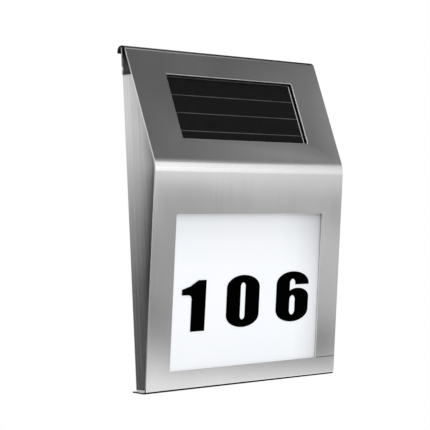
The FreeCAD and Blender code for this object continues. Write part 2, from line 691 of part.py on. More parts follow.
def lamp_housing():
    """Moulded tub with a brim: light box below the partition, battery trough and electronics bay above it."""
    tub = behind(housing_skin, case_back, case_bottom, case_top, case_half_width)
    hollow = behind(housing_skin + brim_thickness, case_back + case_wall, case_bottom + case_wall,
                    case_top - case_wall, case_inside)
    brim = behind(housing_skin, 0, case_bottom, brim_top, brim_half_width)
    brim = brim.cut(behind(housing_skin + brim_thickness, -5, case_bottom - 5, brim_top + 5, overall_width))
    corner_start = solar_board_width / 2 + pocket_clearance + case_wall + brim_corner_room
    for near, far in ((-overall_width, -corner_start), (corner_start, overall_width)):
        brim = brim.cut(block(near, far, 0, overall_depth, wing_top - brim_corner_below_wing_top, brim_top + 1))

    panel_back = housing_skin + number_panel_thickness
    board_rear = solar_board_front + solar_board_thickness
    rim = case_wall + pocket_clearance
    inner = case_inside
    room = overall_depth
    walls = [
        leaf_block(face_leaf, -panel_half - rim, panel_half + rim, housing_skin, panel_back + pocket_ledge,
                   panel_foot - rim, panel_head + rim),
        leaf_block(slope_leaf, -solar_board_width / 2 - rim, solar_board_width / 2 + rim, housing_skin,
                   board_rear + pocket_ledge, solar_board_bottom - rim, solar_board_top + rim),
        block(-inner, inner, case_back, room, bay_bottom, bay_floor),
        block(trough_left - trough_wall, trough_right + trough_wall, case_back, room,
              2 * battery_height - trough_top, trough_top),
        block(door_left - trough_wall, door_left + door_length + door_travel + trough_wall, case_back,
              recess_back + trough_wall, battery_height - door_height / 2 - trough_wall,
              battery_height + door_height / 2 + trough_wall),
        block(switch_x - switch_pocket_length / 2 - case_wall, switch_x + switch_pocket_length / 2 + case_wall,
              case_back, case_back + switch_pocket_depth + switch_pocket_floor,
              switch_height - switch_pocket_width / 2 - case_wall,
              switch_height + switch_pocket_width / 2 + case_wall),
    ]
    walls += [block(x - post_size / 2, x + post_size / 2, case_back, board_back, height - post_size / 2,
                    height + post_size / 2) for x, height in board_corners()]
    ribs, grooves = led_ribs()
    walls += ribs
    housing = fused([tub.cut(hollow), brim] + [wall.common(tub) for wall in walls])

    slack = pocket_clearance
    through = pocket_ledge + 0.2
    cuts = [
        leaf_block(face_leaf, -panel_half - slack, panel_half + slack, 0, panel_back,
                   panel_foot - slack, panel_head + slack),
        leaf_block(face_leaf, -number_window_width / 2, number_window_width / 2, panel_back - 1,
                   panel_back + through, number_bottom, number_top),
        leaf_block(slope_leaf, -solar_board_width / 2 - slack, solar_board_width / 2 + slack, 0, board_rear,
                   solar_board_bottom - slack, solar_board_top + slack),
        leaf_block(slope_leaf, wire_opening_margin - solar_board_width / 2,
                   solar_board_width / 2 - wire_opening_margin, 0, board_rear + through,
                   solar_board_bottom + wire_opening_rim, solar_board_top - wire_opening_rim),
        # the trough, open to the back
        cylinder(trough_bore, trough_right - trough_left, at(battery_depth, battery_height, trough_left), X_AXIS),
        block(trough_left, trough_right, case_back - 1, battery_depth, battery_height - trough_bore,
              battery_height + trough_bore),
        # the door's recess, with undercut rails and the notches that its tongues enter through
        block(door_left - door_clearance, door_left + door_length + door_travel + door_clearance,
              case_back + rail_skin - door_clearance, recess_back, battery_height - door_height / 2 - door_clearance,
              battery_height + door_height / 2 + door_clearance),
        block(door_left - door_clearance, door_left + door_length + door_travel + door_clearance,
              case_back - 1, recess_back, battery_height - door_height / 2 + door_tongue - door_clearance,
              battery_height + door_height / 2 - door_tongue + door_clearance),
        block(switch_x - switch_pocket_length / 2, switch_x + switch_pocket_length / 2, case_back - 1,
              case_back + switch_pocket_depth, switch_height - switch_pocket_width / 2,
              switch_height + switch_pocket_width / 2),
        knob_block(knob_clearance, case_back, switch_top, knob_travel),
    ]
    for start in tongue_starts():
        cuts.append(block(start + door_travel - door_clearance, start + door_travel + door_tongue_length + door_clearance,
                          case_back - 1, recess_back, battery_height - door_height / 2 - door_clearance,
                          battery_height + door_height / 2 + door_clearance))
    for plate_left in (trough_left, trough_right - contact_sheet):
        cuts.append(block(plate_left - contact_clearance, plate_left + contact_sheet + contact_clearance,
                          battery_depth - contact_tab_width / 2 - contact_clearance,
                          battery_depth + contact_tab_width / 2 + contact_clearance,
                          battery_height, trough_top + 1))
    cuts += [on_leaf(cylinder(m3_radius + m3_clearance, 9, Vector(0, 0, 0), into_the_sign), leaf, x, up_leaf)
             for leaf, x, up_leaf in stud_seats()]
    cuts += [cylinder(m2_radius, m2_grip, at(board_back, height, x), Vector(0, 1, 0)) for x, height in board_holes()]
    room_for_lead = lead_radius + lead_hole_clearance
    cuts.append(block(board_left + led_lead_along[0] - room_for_lead, board_left + led_lead_along[1] + room_for_lead,
                      led_lead_depth - room_for_lead, led_lead_depth + room_for_lead, bay_bottom, bay_floor + 1))
    cuts += grooves
    for tool in cuts:
        housing = housing.cut(tool)
    return housing


# ---------------------------------------------------------------- solar panel
def solar_board():
    return leaf_block(slope_leaf, -solar_board_width / 2, solar_board_width / 2, solar_board_front,
                      solar_board_front + solar_board_thickness, solar_board_bottom, solar_board_top)


def solar_cells():
    """Dark strips, one above the other, with a ribbon's width between them."""
    strips = []
    for k in range(cell_count):
        top = cell_top_above_crest - k * cell_pitch
        strips.append(leaf_block(slope_leaf, -cell_row_width / 2, cell_row_width / 2, cell_setback, solar_board_front,
                                 top - cell_pitch + ribbon_width, top))
    return Part.makeCompound(strips)


def solar_ribbons():
    """Bright conductor: a frame round the cells and the lines between the strips."""
    half = cell_row_width / 2 + ribbon_width
    low = cell_bottom_above_crest
    frame = leaf_block(slope_leaf, -half, half, cell_setback, solar_board_front, low,
                       cell_top_above_crest + ribbon_width)
    return frame.cut(solar_cells())


def solar_seal():
    """Foam frame that holds the board off the hood and closes the gap round the window."""
    window_half, top = solar_window_width / 2, solar_window_above_crest + solar_window_height
    outer = leaf_block(slope_leaf, -solar_board_width / 2, solar_board_width / 2, sheet, cell_setback,
                       solar_board_bottom, solar_board_top)
    return outer.cut(leaf_block(slope_leaf, -window_half - 0.4, window_half + 0.4, 0, 4,
                                solar_window_above_crest - 0.4, top + 0.4))


# ---------------------------------------------------------------- number panel and numerals
def number_panel():
    return leaf_block(face_leaf, -panel_half, panel_half, housing_skin, housing_skin + number_panel_thickness,
                      panel_foot, panel_head)


def number_panel_seal():
    """Foam frame between the hood and the panel's margin."""
    side = panel_half + case_wall
    outer = leaf_block(face_leaf, -side, side, sheet, housing_skin, panel_foot, panel_head + case_wall)
    half = number_window_width / 2 + 0.5
    return outer.cut(leaf_block(face_leaf, -half, half, 0, 4, number_bottom - 0.5, number_top + 0.5))


def rounded_block(x0, x1, z0, z1, radius):
    """A numeral's stroke: a slab of numeral thickness with round corners, standing on the panel."""
    slab = Part.makeBox(x1 - x0, numeral_thickness, z1 - z0, Vector(x0, 0, z0))
    corners = [e for e in slab.Edges if abs(e.Vertexes[0].Y - e.Vertexes[-1].Y) > 1e-6]
    return slab.makeFillet(radius, corners)


def numeral_on_panel(shape, centre):
    foot = Vector(centre, housing_skin - numeral_thickness, number_bottom + numeral_above_window_foot)
    shape.Placement = face_leaf.multiply(Placement(foot, Rotation()))
    return shape


def counter(z0, z1):
    """The slot in the middle of a numeral, cut right through."""
    slot = rounded_block(-counter_width / 2, counter_width / 2, z0, z1, counter_width / 2 - 0.01)
    return slot


def numeral_one():
    high, right = numeral_height, one_width / 2
    stem = right - one_stem
    flag = [Vector(stem, 0, 0), Vector(right, 0, 0), Vector(right, 0, high), Vector(right - 7.2, 0, high),
            Vector(stem - 1.5, 0, high - 3.6), Vector(-right, 0, high - 5.6), Vector(-right, 0, high - 9.0),
            Vector(stem - 2.6, 0, high - 9.2), Vector(stem - 0.8, 0, high - 9.9), Vector(stem, 0, high - 11.4)]
    return numeral_on_panel(Part.Face(Part.Wire(polygon(flag))).extrude(Vector(0, numeral_thickness, 0)), one_centre)


def numeral_zero():
    half = numeral_width / 2
    ring = rounded_block(-half, half, 0, numeral_height, numeral_corner)
    return numeral_on_panel(ring.cut(counter(4.5, numeral_height - 4.5)), zero_shift)


def numeral_six():
    """A rounded outline, opened on the right above the bowl, with a slot above the bowl and one inside it."""
    half, high, slot = numeral_width / 2, numeral_height, counter_width / 2
    outline = rounded_block(-half, half, 0, high, numeral_corner)
    gap = Part.makeBox(numeral_width, numeral_thickness, high - 8.4, Vector(-slot, 0, 0))
    bowl = rounded_block(-slot - 3.1, half, 0, high - 10.4, 9.5).common(outline)
    six = outline.cut(gap).fuse(bowl)
    six = six.cut(counter(high - 13.0, high - 4.5)).cut(counter(5.3, high - 15.3)).removeSplitter()
    return numeral_on_panel(six, six_centre)


# ---------------------------------------------------------------- lights
def led_board():
    return block(-led_board_width / 2, led_board_width / 2, led_depth - led_board_depth / 2,
                 led_depth + led_board_depth / 2, led_board_underside, bay_bottom)


def leds():
    """Row of flat LED packages that shine down into the light box."""
    row = []
    for k in range(led_count):
        middle = (k - (led_count - 1) / 2) * led_pitch
        row.append(block(middle - led_size / 2, middle + led_size / 2, led_depth - led_size / 2,
                         led_depth + led_size / 2, led_board_underside - led_height, led_board_underside))
    return Part.makeCompound(row)


def pan_screw(seat, into, grip):
    """M2 screw whose head lies on seat; grip is the thickness that it clamps."""
    head = Part.makeCylinder(m2_head_radius, m2_head_height, Vector(0, 0, -m2_head_height))
    screw = head.fuse(Part.makeCylinder(m2_radius, grip + m2_grip - m2_tip_gap))
    screw.Placement = Placement(seat, Rotation(Vector(0, 0, 1), into))
    return screw


def reflector_sheet():
    """White sheet on the light box's back."""
    half = case_inside - reflector_gap
    back = case_back + case_wall
    return block(-half, half, back, back + reflector_thickness, case_bottom + case_wall + reflector_gap,
                 led_board_underside - led_board_clearance - led_rib - reflector_gap)


# ---------------------------------------------------------------- battery, contacts and door
def battery_cell():
    base = at(battery_depth, battery_height, battery_left)
    can = cylinder(battery_radius, battery_length, base, X_AXIS)
    nub = cylinder(battery_nub_radius, battery_nub_length, base + X_AXIS * battery_length, X_AXIS)
    return can.fuse(nub)


def contact(left):
    """Square contact with a solder tab that stands up through the trough's wall."""
    half, tab = contact_size / 2, contact_tab_width / 2
    plate = block(left, left + contact_sheet, battery_depth - half, battery_depth + half, battery_height - half,
                  battery_height + half)
    return plate.fuse(block(left, left + contact_sheet, battery_depth - tab, battery_depth + tab, battery_height,
                            trough_top + contact_tab_past_wall)).removeSplitter()


def contact_plate():
    return contact(trough_right - contact_sheet)


def front_ray(angle):
    """Unit vector seen from the front: 0 degrees points to +X and 90 degrees points up."""
    a = math.radians(angle)
    return Vector(math.cos(a), 0, math.sin(a))


def contact_spring():
    """The contact for the cell's flat end: a plate whose foot is bent up into a sprung leaf."""
    root, crown = leaf_fold + contact_sheet, leaf_crest + contact_sheet
    lean = math.radians(leaf_lean)
    run = contact_sheet + spring_space - root * (1 + math.cos(lean)) - crown * (1 - math.cos(lean))
    moves = [
        ("run", contact_size / 2 - root),
        ("bend", 180 - leaf_lean, leaf_fold),
        ("run", run / math.sin(lean)),
        ("bend", 3 * leaf_lean, leaf_crest),
        ("run", leaf_tail),
    ]
    start = at(battery_depth + leaf_width / 2, battery_height, trough_left)
    leaf = fold(start, -90, moves, contact_sheet, front_ray, Vector(0, leaf_width, 0))
    return contact(trough_left).fuse(leaf)


def battery_door():
    """Cover that slides to the right until its tongues meet the notches in the rails."""
    half = door_height / 2 - door_tongue
    front = door_back + door_thickness
    door = block(door_left, door_left + door_length, door_back, front, battery_height - half, battery_height + half)
    pieces = [door]
    for start in tongue_starts():
        pieces.append(block(start, start + door_tongue_length, front - door_tongue_thickness, front,
                            battery_height - half - door_tongue, battery_height + half + door_tongue))
    for k in range(door_ribs):
        left = door_left + door_rib_margin + k * door_rib_pitch
        pieces.append(block(left, left + door_rib_width, door_back - door_rib_height, door_back,
                            battery_height - half + door_rib_margin, battery_height + half - door_rib_margin))
    return fused(pieces)


# ---------------------------------------------------------------- control board and switch
def control_board():
    board = block(board_left, board_left + board_length, board_back, board_front, board_bottom, board_top)
    for x, height in board_holes():
        board = board.cut(cylinder(m2_radius + m2_clearance, 4 * board_thickness, at(board_front + 1, height, x),
                                   Vector(0, 1, 0)))
    return board


def board_screws():
    return Part.makeCompound([pan_screw(at(board_front, height, x), Vector(0, 1, 0), board_thickness)
                              for x, height in board_holes()])


def controller_chip():
    """Eight-leg chip."""
    x, middle = board_left + chip_along, board_bottom + chip_up
    leg, lift = 0.4, 0.1
    pieces = [block(x - chip_width / 2, x + chip_width / 2, board_front + lift, board_front + lift + chip_thickness,
                    middle - chip_length / 2, middle + chip_length / 2)]
    for k in range(4):
        height = middle + (k - 1.5) * chip_leg_pitch
        pieces.append(block(x - chip_width / 2 - 1, x + chip_width / 2 + 1, board_front, board_front + lift + 0.2,
                            height - leg / 2, height + leg / 2))
    return fused(pieces)


def inductor():
    """Drum core."""
    out = Vector(0, -1, 0)
    base = at(board_front, board_bottom + inductor_up, board_left + inductor_along)
    return cylinder(inductor_radius, inductor_length, base, out)


def capacitors():
    out = Vector(0, -1, 0)
    cans = []
    for k in range(2):
        base = at(board_front, board_bottom + capacitor_up, board_left + capacitor_along + k * capacitor_pitch)
        cans.append(cylinder(capacitor_radius, capacitor_length, base, out))
    return Part.makeCompound(cans)


def knob_block(slack, back, front, travel):
    """The space of the switch knob between two depths, with slack round it and room to slide to the right."""
    left = switch_x - (knob_length + knob_travel) / 2
    return block(left - slack, left + knob_length + travel + slack, back, front,
                 switch_height - knob_width / 2 - slack, switch_height + knob_width / 2 + slack)


def switch_body():
    body = block(switch_x - switch_length / 2, switch_x + switch_length / 2, switch_top, board_back,
                 switch_height - switch_width / 2, switch_height + switch_width / 2)
    return body.cut(knob_block(knob_clearance, switch_top - 1, switch_top + knob_root + knob_clearance, knob_travel))


def switch_knob():
    return knob_block(0, knob_tip_depth, switch_top + knob_root, 0)


# ---------------------------------------------------------------- leads
def lead(points):
    """Round insulated wire through the points."""
    path = Part.Wire([Part.LineSegment(a, b).toShape() for a, b in zip(points, points[1:])])
    start = points[1] - points[0]
    section = Part.Wire(Part.makeCircle(lead_radius, points[0], start.normalize()))
    return path.makePipeShell([section], True, False, 1)


def solar_lead(along):
    x, middle = board_left + along, (solar_board_top + solar_board_bottom) / 2
    rear = solar_board_front + solar_board_thickness
    pad = slope_leaf.multVec(Vector(x, rear, middle))
    turn = slope_leaf.multVec(Vector(x, rear + 4 * lead_radius, middle))
    return lead([pad, turn, at(lead_depth, board_top + 4 * lead_radius, x), at(lead_depth, board_top - solar_lead_end, x)])


def led_lead(along):
    x = board_left + along
    return lead([at(led_lead_depth, bay_bottom, x), at(led_lead_depth, bay_floor + lead_radius, x),
                 at(lead_depth, board_bottom + lead_on_board / 2, x)])


def solar_lead_red():
    return solar_lead(solar_lead_along[0])


def solar_lead_black():
    return solar_lead(solar_lead_along[1])


def led_lead_red():
    return led_lead(led_lead_along[0])


def led_lead_black():
    return led_lead(led_lead_along[1])


def battery_lead_red():
    height = trough_top + battery_lead_rise[0]
    return lead([at(lead_depth, height, trough_right), at(lead_depth, height, board_left + lead_on_board)])


def battery_lead_black():
    low, high = trough_top + battery_lead_rise[0], trough_top + battery_lead_rise[1]
    left = trough_left + contact_sheet
    return lead([at(lead_depth, low, left), at(lead_depth, low, left + 2 * lead_radius),
                 at(lead_depth, high, left + 8 * lead_radius), at(lead_depth, high, board_left + lead_on_board)])


# ---------------------------------------------------------------- what each node is made by
def export(name, shape):
    moved = shape.copy()
    moved.translate(Vector(0, 0, -fixing_centre_height))
    moved.exportStep(os.path.join("parts", name + ".step"))


PIECES = {
    "back_plate": back_plate,
    "front_hood": front_hood,
    "lock_screws": lock_screws,
    "lock_nuts": lock_nuts,
    "housing_studs": housing_studs,
    "stud_nuts": stud_nuts,
    "lamp_housing": lamp_housing,
    "solar_board": solar_board,
    "solar_cells": solar_cells,
    "solar_ribbons": solar_ribbons,
    "solar_seal": solar_seal,
    "number_panel": number_panel,
    "number_panel_seal": number_panel_seal,
    "numeral_one": numeral_one,
    "numeral_zero": numeral_zero,
    "numeral_six": numeral_six,
    "led_board": led_board,
    "leds": leds,
    "reflector_sheet": reflector_sheet,
    "battery_cell": battery_cell,
    "contact_plate": contact_plate,
    "contact_spring": contact_spring,
    "battery_door": battery_door,
    "control_board": control_board,
    "board_screws": board_screws,
    "controller_chip": controller_chip,
    "inductor": inductor,
    "capacitors": capacitors,
    "switch_body": switch_body,
    "switch_knob": switch_knob,
    "solar_lead_red": solar_lead_red,
    "solar_lead_black": solar_lead_black,
    "led_lead_red": led_lead_red,
    "led_lead_black": led_lead_black,
    "battery_lead_red": battery_lead_red,
    "battery_lead_black": battery_lead_black,
}

os.makedirs("parts", exist_ok=True)
for piece, make in PIECES.items():
    export(piece, make())
print("curl centre: depth", curl_depth, "height", round(curl_centre.z - fixing_centre_height, 3))
print("face", round(face_length, 2), "tilts", round(slope_tilt, 2), round(face_tilt, 2), "window", round(number_window_height, 2))
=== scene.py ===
import bmesh
import bpy
import math
from mathutils import Matrix, Vector


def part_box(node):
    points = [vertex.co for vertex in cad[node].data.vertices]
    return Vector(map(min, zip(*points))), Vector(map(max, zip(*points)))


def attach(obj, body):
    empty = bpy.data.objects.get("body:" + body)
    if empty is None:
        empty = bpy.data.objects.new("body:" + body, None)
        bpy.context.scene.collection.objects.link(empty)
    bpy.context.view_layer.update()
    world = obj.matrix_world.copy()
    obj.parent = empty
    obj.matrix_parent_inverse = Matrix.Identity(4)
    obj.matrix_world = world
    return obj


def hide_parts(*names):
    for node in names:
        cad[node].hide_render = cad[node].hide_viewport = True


# Looks of the illuminated house number sign. Metres, in the CAD's frame: X to the right as the sign is read,
# Y into the wall, Z up, with the origin in the middle of the four wall screws. Sizes of the sign are written
# in millimetres, as in the part's source, and mm brings them into metres. The studio's are in metres.
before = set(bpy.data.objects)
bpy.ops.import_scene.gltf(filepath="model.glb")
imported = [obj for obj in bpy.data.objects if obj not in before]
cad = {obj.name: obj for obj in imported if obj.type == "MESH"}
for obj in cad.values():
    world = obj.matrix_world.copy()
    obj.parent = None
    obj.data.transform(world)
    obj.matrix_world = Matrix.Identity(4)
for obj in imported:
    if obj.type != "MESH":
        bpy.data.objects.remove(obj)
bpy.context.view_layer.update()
mm = 0.001


# ---------------------------------------------------------------- studio
# The sign hangs free in a white studio, seen from its left and level with its middle. A tall graded softbox
# stands to the right and a smaller one behind on the left, as for a metal packshot. Only reflections see
# these two and the dark and grey cards, which keep the steel from mirroring the white room.
camera_aim = Vector((-24.98, -16.0, 1.77)) * mm
camera_distance = 1.12176
camera_turn, camera_pitch, camera_roll = (math.radians(a) for a in (-50.27, -1.90, -2.56))
camera_lens = 157.9
floor_height = -0.36
upward = Vector((0, 0, 1))


def toward(azimuth, elevation=0.0):
    """Unit vector away from the sign: azimuth 0 is in front of it and 90 to its right."""
    a, e = math.radians(azimuth), math.radians(elevation)
    return Vector((math.sin(a) * math.cos(e), -math.cos(a) * math.cos(e), math.sin(e)))


def axes(x, y, z):
    """A turn that takes the axes to three unit vectors."""
    return Matrix((x, y, z)).transposed().to_4x4()


def put_camera():
    bpy.ops.object.camera_add()
    camera = bpy.context.object
    camera.name = "camera"
    away = toward(math.degrees(camera_turn), math.degrees(camera_pitch))
    level = Vector((math.cos(camera_turn), math.sin(camera_turn), 0))
    upright = away.cross(level)
    across = level * math.cos(camera_roll) + upright * math.sin(camera_roll)
    up = upright * math.cos(camera_roll) - level * math.sin(camera_roll)
    camera.matrix_world = Matrix.Translation(camera_aim + away * camera_distance) @ axes(across, up, away)
    camera.data.lens = camera_lens
    camera.data.clip_start, camera.data.clip_end = 0.01, 50
    bpy.context.scene.camera = camera


class Paint:
    """A material that is built node by node."""

    def __init__(self, name):
        self.material = bpy.data.materials.new(name)
        self.material.use_nodes = True
        self.nodes = self.material.node_tree.nodes
        self.links = self.material.node_tree.links
        self.shader = self.nodes["Principled BSDF"]
        self.output = self.nodes["Material Output"]

    def add(self, kind, settings=(), **sockets):
        made = self.nodes.new("ShaderNode" + kind)
        for name, value in dict(settings).items():
            setattr(made, name, value)
        for name, value in sockets.items():
            self.feed(value, made.inputs[name.replace("_", " ")])
        return made

    def feed(self, value, socket):
        if isinstance(value, bpy.types.NodeSocket):
            self.links.new(value, socket)
        else:
            socket.default_value = value

    def set(self, **sockets):
        for name, value in sockets.items():
            self.feed(value, self.shader.inputs[name.replace("_", " ")])

    def place(self, scale=(1, 1, 1), turn=(0, 0, 0)):
        """The piece's own coordinates in metres, scaled."""
        spot = self.add("TexCoord")
        return self.add("Mapping", Vector=spot.outputs["Object"], Scale=scale, Rotation=turn).outputs[0]

    def xyz(self):
        """The piece's own coordinates in metres, one by one."""
        return self.add("SeparateXYZ", Vector=self.place()).outputs

    def noise(self, scale, detail=4.0, rough=0.55):
        """Soft noise that changes scale times per metre along each axis."""
        made = self.add("TexNoise", Vector=self.place(scale), Scale=1.0, Detail=detail, Roughness=rough)
        return made.outputs["Fac"]

    def ramp(self, value, *stops):
        """Stops are (place, grey) or (place, (r, g, b))."""
        made = self.add("ValToRGB", Fac=value)
        band = made.color_ramp
        while len(band.elements) < len(stops):
            band.elements.new(0.5)
        for element, (place, colour) in zip(band.elements, stops):
            element.position = place
            rgb = (colour,) * 3 if isinstance(colour, (int, float)) else colour
            element.color = (*rgb, 1)
        return made.outputs["Color"]

    def mix(self, amount, a, b, blend="MIX"):
        made = self.add("Mix", {"data_type": "RGBA", "blend_type": blend, "clamp_factor": True})
        self.feed(amount, made.inputs[0])
        for value, socket in ((a, made.inputs[6]), (b, made.inputs[7])):
            self.feed((*value, 1) if isinstance(value, tuple) and len(value) == 3 else value, socket)
        return made.outputs[2]

    def tinted(self, colour, by):
        return self.mix(1.0, colour, by, "MULTIPLY")

    def range(self, value, low, high, to_low=0.0, to_high=1.0):
        """Takes value from low to high evenly into to_low to to_high, and no further."""
        made = self.add("MapRange", {"clamp": True})
        for socket, number in zip(made.inputs, (value, low, high, to_low, to_high)):
            self.feed(number, socket)
        return made.outputs[0]

    def maths(self, what, a, b=0.0):
        made = self.add("Math", {"operation": what})
        self.feed(a, made.inputs[0])
        self.feed(b, made.inputs[1])
        return made.outputs[0]

    def product(self, a, b):
        return self.maths("MULTIPLY", a, b)

    def bump(self, height, depth):
        return self.add("Bump", Height=height, Distance=depth, Strength=1.0).outputs[0]

    def on(self, *objects):
        for o in objects:
            if o.data.materials:
                for k in range(len(o.data.materials)):
                    o.data.materials[k] = self.material
            else:
                o.data.materials.append(self.material)
        return self


def facing_sign(azimuth, elevation, distance):
    out = toward(azimuth, elevation)
    side = upward.cross(-out).normalized()
    return Matrix.Translation(out * distance) @ axes(side, (-out).cross(side), -out)


def reflected_card(name, place, width, height):
    """A card that only reflections see. Returns its material, still without its light."""
    bpy.ops.mesh.primitive_plane_add(size=1)
    card = bpy.context.object
    card.name = name
    card.matrix_world = place @ Matrix.Diagonal((width, height, 1, 1))
    glow = Paint(name)
    card.data.materials.append(glow.material)
    for rays in ("camera", "diffuse", "transmission", "shadow"):
        setattr(card, "visible_" + rays, False)
    return glow


def light_up(glow, colour, strength=1.0):
    light = glow.add("Emission", Color=colour, Strength=strength)
    glow.links.new(light.outputs[0], glow.output.inputs["Surface"])


def softbox(name, azimuth, distance, width, foot, head, strength, left, right=None, blend=None):
    """An upright glowing card. left and right shade its halves by (height, grey) stops from its foot up.

    blend says between which places across the card, in metres, the left shading gives way to the right one.
    """
    place = Matrix.Translation(upward * (foot + head) / 2) @ facing_sign(azimuth, 0, distance)
    glow = reflected_card(name, place, width, head - foot)
    x, y, _ = glow.add("SeparateXYZ", Vector=glow.add("TexCoord").outputs["Object"]).outputs
    height = glow.maths("ADD", y, 0.5)

    def shaded(bands):
        return glow.ramp(height, *[((z - foot) / (head - foot), grey) for z, grey in bands])

    colour = shaded(left)
    if right:
        colour = glow.mix(glow.range(glow.product(x, -width), *blend), colour, shaded(right))
    light_up(glow, colour, strength)


def flag(name, place, width, height, grey):
    light_up(reflected_card(name, place, width, height), (grey, grey, grey, 1))


def white_room():
    """World and floor: pure white to the camera and in reflections, and softer than that as light."""
    as_light, as_seen = 0.6, 1.0
    other_views = ("Is Glossy Ray", "Is Transmission Ray")
    world = bpy.data.worlds.new("studio")
    bpy.context.scene.world = world
    world.use_nodes = True
    tree = world.node_tree
    tree.nodes.clear()
    out = tree.nodes.new("ShaderNodeOutputWorld")
    path = tree.nodes.new("ShaderNodeLightPath")
    seen = path.outputs["Is Camera Ray"]
    for kind in other_views:
        either = tree.nodes.new("ShaderNodeMath")
        either.operation = "MAXIMUM"
        tree.links.new(seen, either.inputs[0])
        tree.links.new(path.outputs[kind], either.inputs[1])
        seen = either.outputs[0]
    blend = tree.nodes.new("ShaderNodeMixShader")
    tree.links.new(seen, blend.inputs[0])
    for strength, socket in ((as_light, blend.inputs[1]), (as_seen, blend.inputs[2])):
        sky = tree.nodes.new("ShaderNodeBackground")
        sky.inputs["Color"].default_value = (1, 1, 1, 1)
        sky.inputs["Strength"].default_value = strength
        tree.links.new(sky.outputs[0], socket)
    tree.links.new(blend.outputs[0], out.inputs["Surface"])

    bpy.ops.mesh.primitive_circle_add(vertices=96, radius=2.4, fill_type="NGON",
                                      location=(0, 0, floor_height))
    floor = bpy.context.object
    floor.name = "floor"
    pale = Paint("floor_white")
    pale.set(Base_Color=(0.93, 0.93, 0.93, 1), Roughness=0.9)
    path = pale.add("LightPath")
    seen = path.outputs["Is Camera Ray"]
    for kind in other_views:
        seen = pale.maths("MAXIMUM", seen, path.outputs[kind])
    pale.set(Emission_Color=(1, 1, 1, 1), Emission_Strength=pale.product(seen, 0.45))
    pale.on(floor)


def lamp(name, azimuth, elevation, distance, size, power):
    bpy.ops.object.light_add(type="AREA")
    made = bpy.context.object
    made.name = name
    out = toward(azimuth, elevation)
    made.location = out * distance
    made.rotation_mode = "QUATERNION"
    made.rotation_quaternion = out.to_track_quat("Z", "Y")
    made.data.shape = "DISK"
    made.data.size = size
    made.data.energy = power
    made.visible_glossy = False


bpy.context.scene.view_settings.view_transform = "Standard"
put_camera()
white_room()
# each stop is a height above the sign's middle and the grey there, and they band the steel light and dark
softbox("softbox_right", azimuth=50, distance=0.7, width=1.6, foot=-0.60, head=1.20, strength=1.30,
        left=[(-0.6, 0.84), (-0.26, 0.8), (-0.248, 0.60), (-0.235, 0.37), (-0.205, 0.15), (-0.16, 0.25),
              (-0.12, 0.26), (-0.09, 0.33), (-0.066, 0.34), (-0.055, 0.38), (-0.042, 1.08), (0.0, 1.16),
              (0.05, 1.12), (0.1, 1.28), (0.14, 1.58), (0.165, 2.2), (0.19, 2.0), (0.215, 1.32),
              (0.24, 0.8), (0.265, 0.55), (0.315, 0.46), (0.34, 0.36), (0.37, 0.065), (1.2, 0.075)],
        right=[(-0.6, 1.32), (-0.235, 1.30), (-0.215, 0.47), (-0.19, 0.2), (-0.16, 0.56), (-0.085, 0.68),
               (-0.06, 0.37), (-0.043, 0.32), (-0.028, 0.76), (0.0, 0.68), (0.05, 0.62), (0.1, 0.72),
               (0.122, 0.48), (0.145, 0.08), (0.17, 0.02), (0.2, 0.02), (0.225, 0.02), (0.265, 0.08),
               (0.34, 0.225), (0.37, 0.2), (0.42, 0.12), (0.50, 0.14), (0.62, 0.45), (1.2, 0.50)],
        blend=(-0.060, 0.080))
softbox("softbox_behind_left", azimuth=-129.7, distance=0.7, width=1.0, foot=-0.50, head=0.70, strength=1.0,
        left=[(-0.50, 0.08), (-0.126, 0.095), (-0.09, 0.11), (-0.063, 0.139), (-0.036, 0.20), (-0.009, 0.32),
              (0.018, 0.36), (0.031, 0.43), (0.058, 0.55), (0.085, 0.80), (0.112, 0.90), (0.14, 0.98),
              (0.70, 1.0)])
on_floor = floor_height + 0.01
flag("flag_above", facing_sign(121, 40, 0.62), width=0.80, height=0.50, grey=0.03)
flag("mat_below", Matrix.Translation((0.50, 0.17, on_floor)), width=0.74, height=0.92, grey=0.010)
flag("mat_in_front", Matrix.Translation((-0.25, -0.585, on_floor)), width=1.00, height=1.13, grey=0.40)
lamp("key", azimuth=-35, elevation=45, distance=1.6, size=1.0, power=11)
lamp("fill", azimuth=60, elevation=30, distance=1.8, size=1.2, power=6)


# ---------------------------------------------------------------- back plate
# Brushed stainless tray, folded from 0.8 mm sheet: web, two wedge wings, the joggled lip and two tabs. Four
# cups are pressed back to the wall, where the wall screws hold it, and their rims are rounded by the press.
def clear_selection():
    bpy.ops.object.select_all(action="DESELECT")


def work_on(piece):
    """Makes a piece the active object and the only one selected."""
    clear_selection()
    bpy.context.view_layer.objects.active = piece
    piece.select_set(True)


def edit():
    bpy.ops.object.mode_set(mode="EDIT")


def done():
    bpy.ops.object.mode_set(mode="OBJECT")


def pick(kind, wanted):
    """While editing, selects only the verts or the edges that are wanted."""
    mesh = bmesh.from_edit_mesh(bpy.context.object.data)
    for part in (mesh.verts, mesh.edges, mesh.faces):
        for p in part:
            p.select = False
    for p in getattr(mesh, kind):
        if wanted(p):
            p.select = True
    bpy.context.tool_settings.mesh_select_mode = (kind == "verts", kind == "edges", False)
    mesh.select_flush_mode()
    bmesh.update_edit_mesh(bpy.context.object.data)


def copy_of_node(node, name):
    """The CAD node's shape as a clean mesh of its own: loose triangles merged and flats dissolved."""
    piece = bpy.data.objects.new(name, cad[node].data.copy())
    bpy.context.scene.collection.objects.link(piece)
    piece.data.materials.clear()
    work_on(piece)
    edit()
    bpy.ops.mesh.select_all(action="SELECT")
    bpy.ops.mesh.customdata_custom_splitnormals_clear()
    bpy.ops.mesh.remove_doubles(threshold=0.002 * mm)
    bpy.ops.mesh.dissolve_limited(angle_limit=math.radians(0.5))
    done()
    return piece


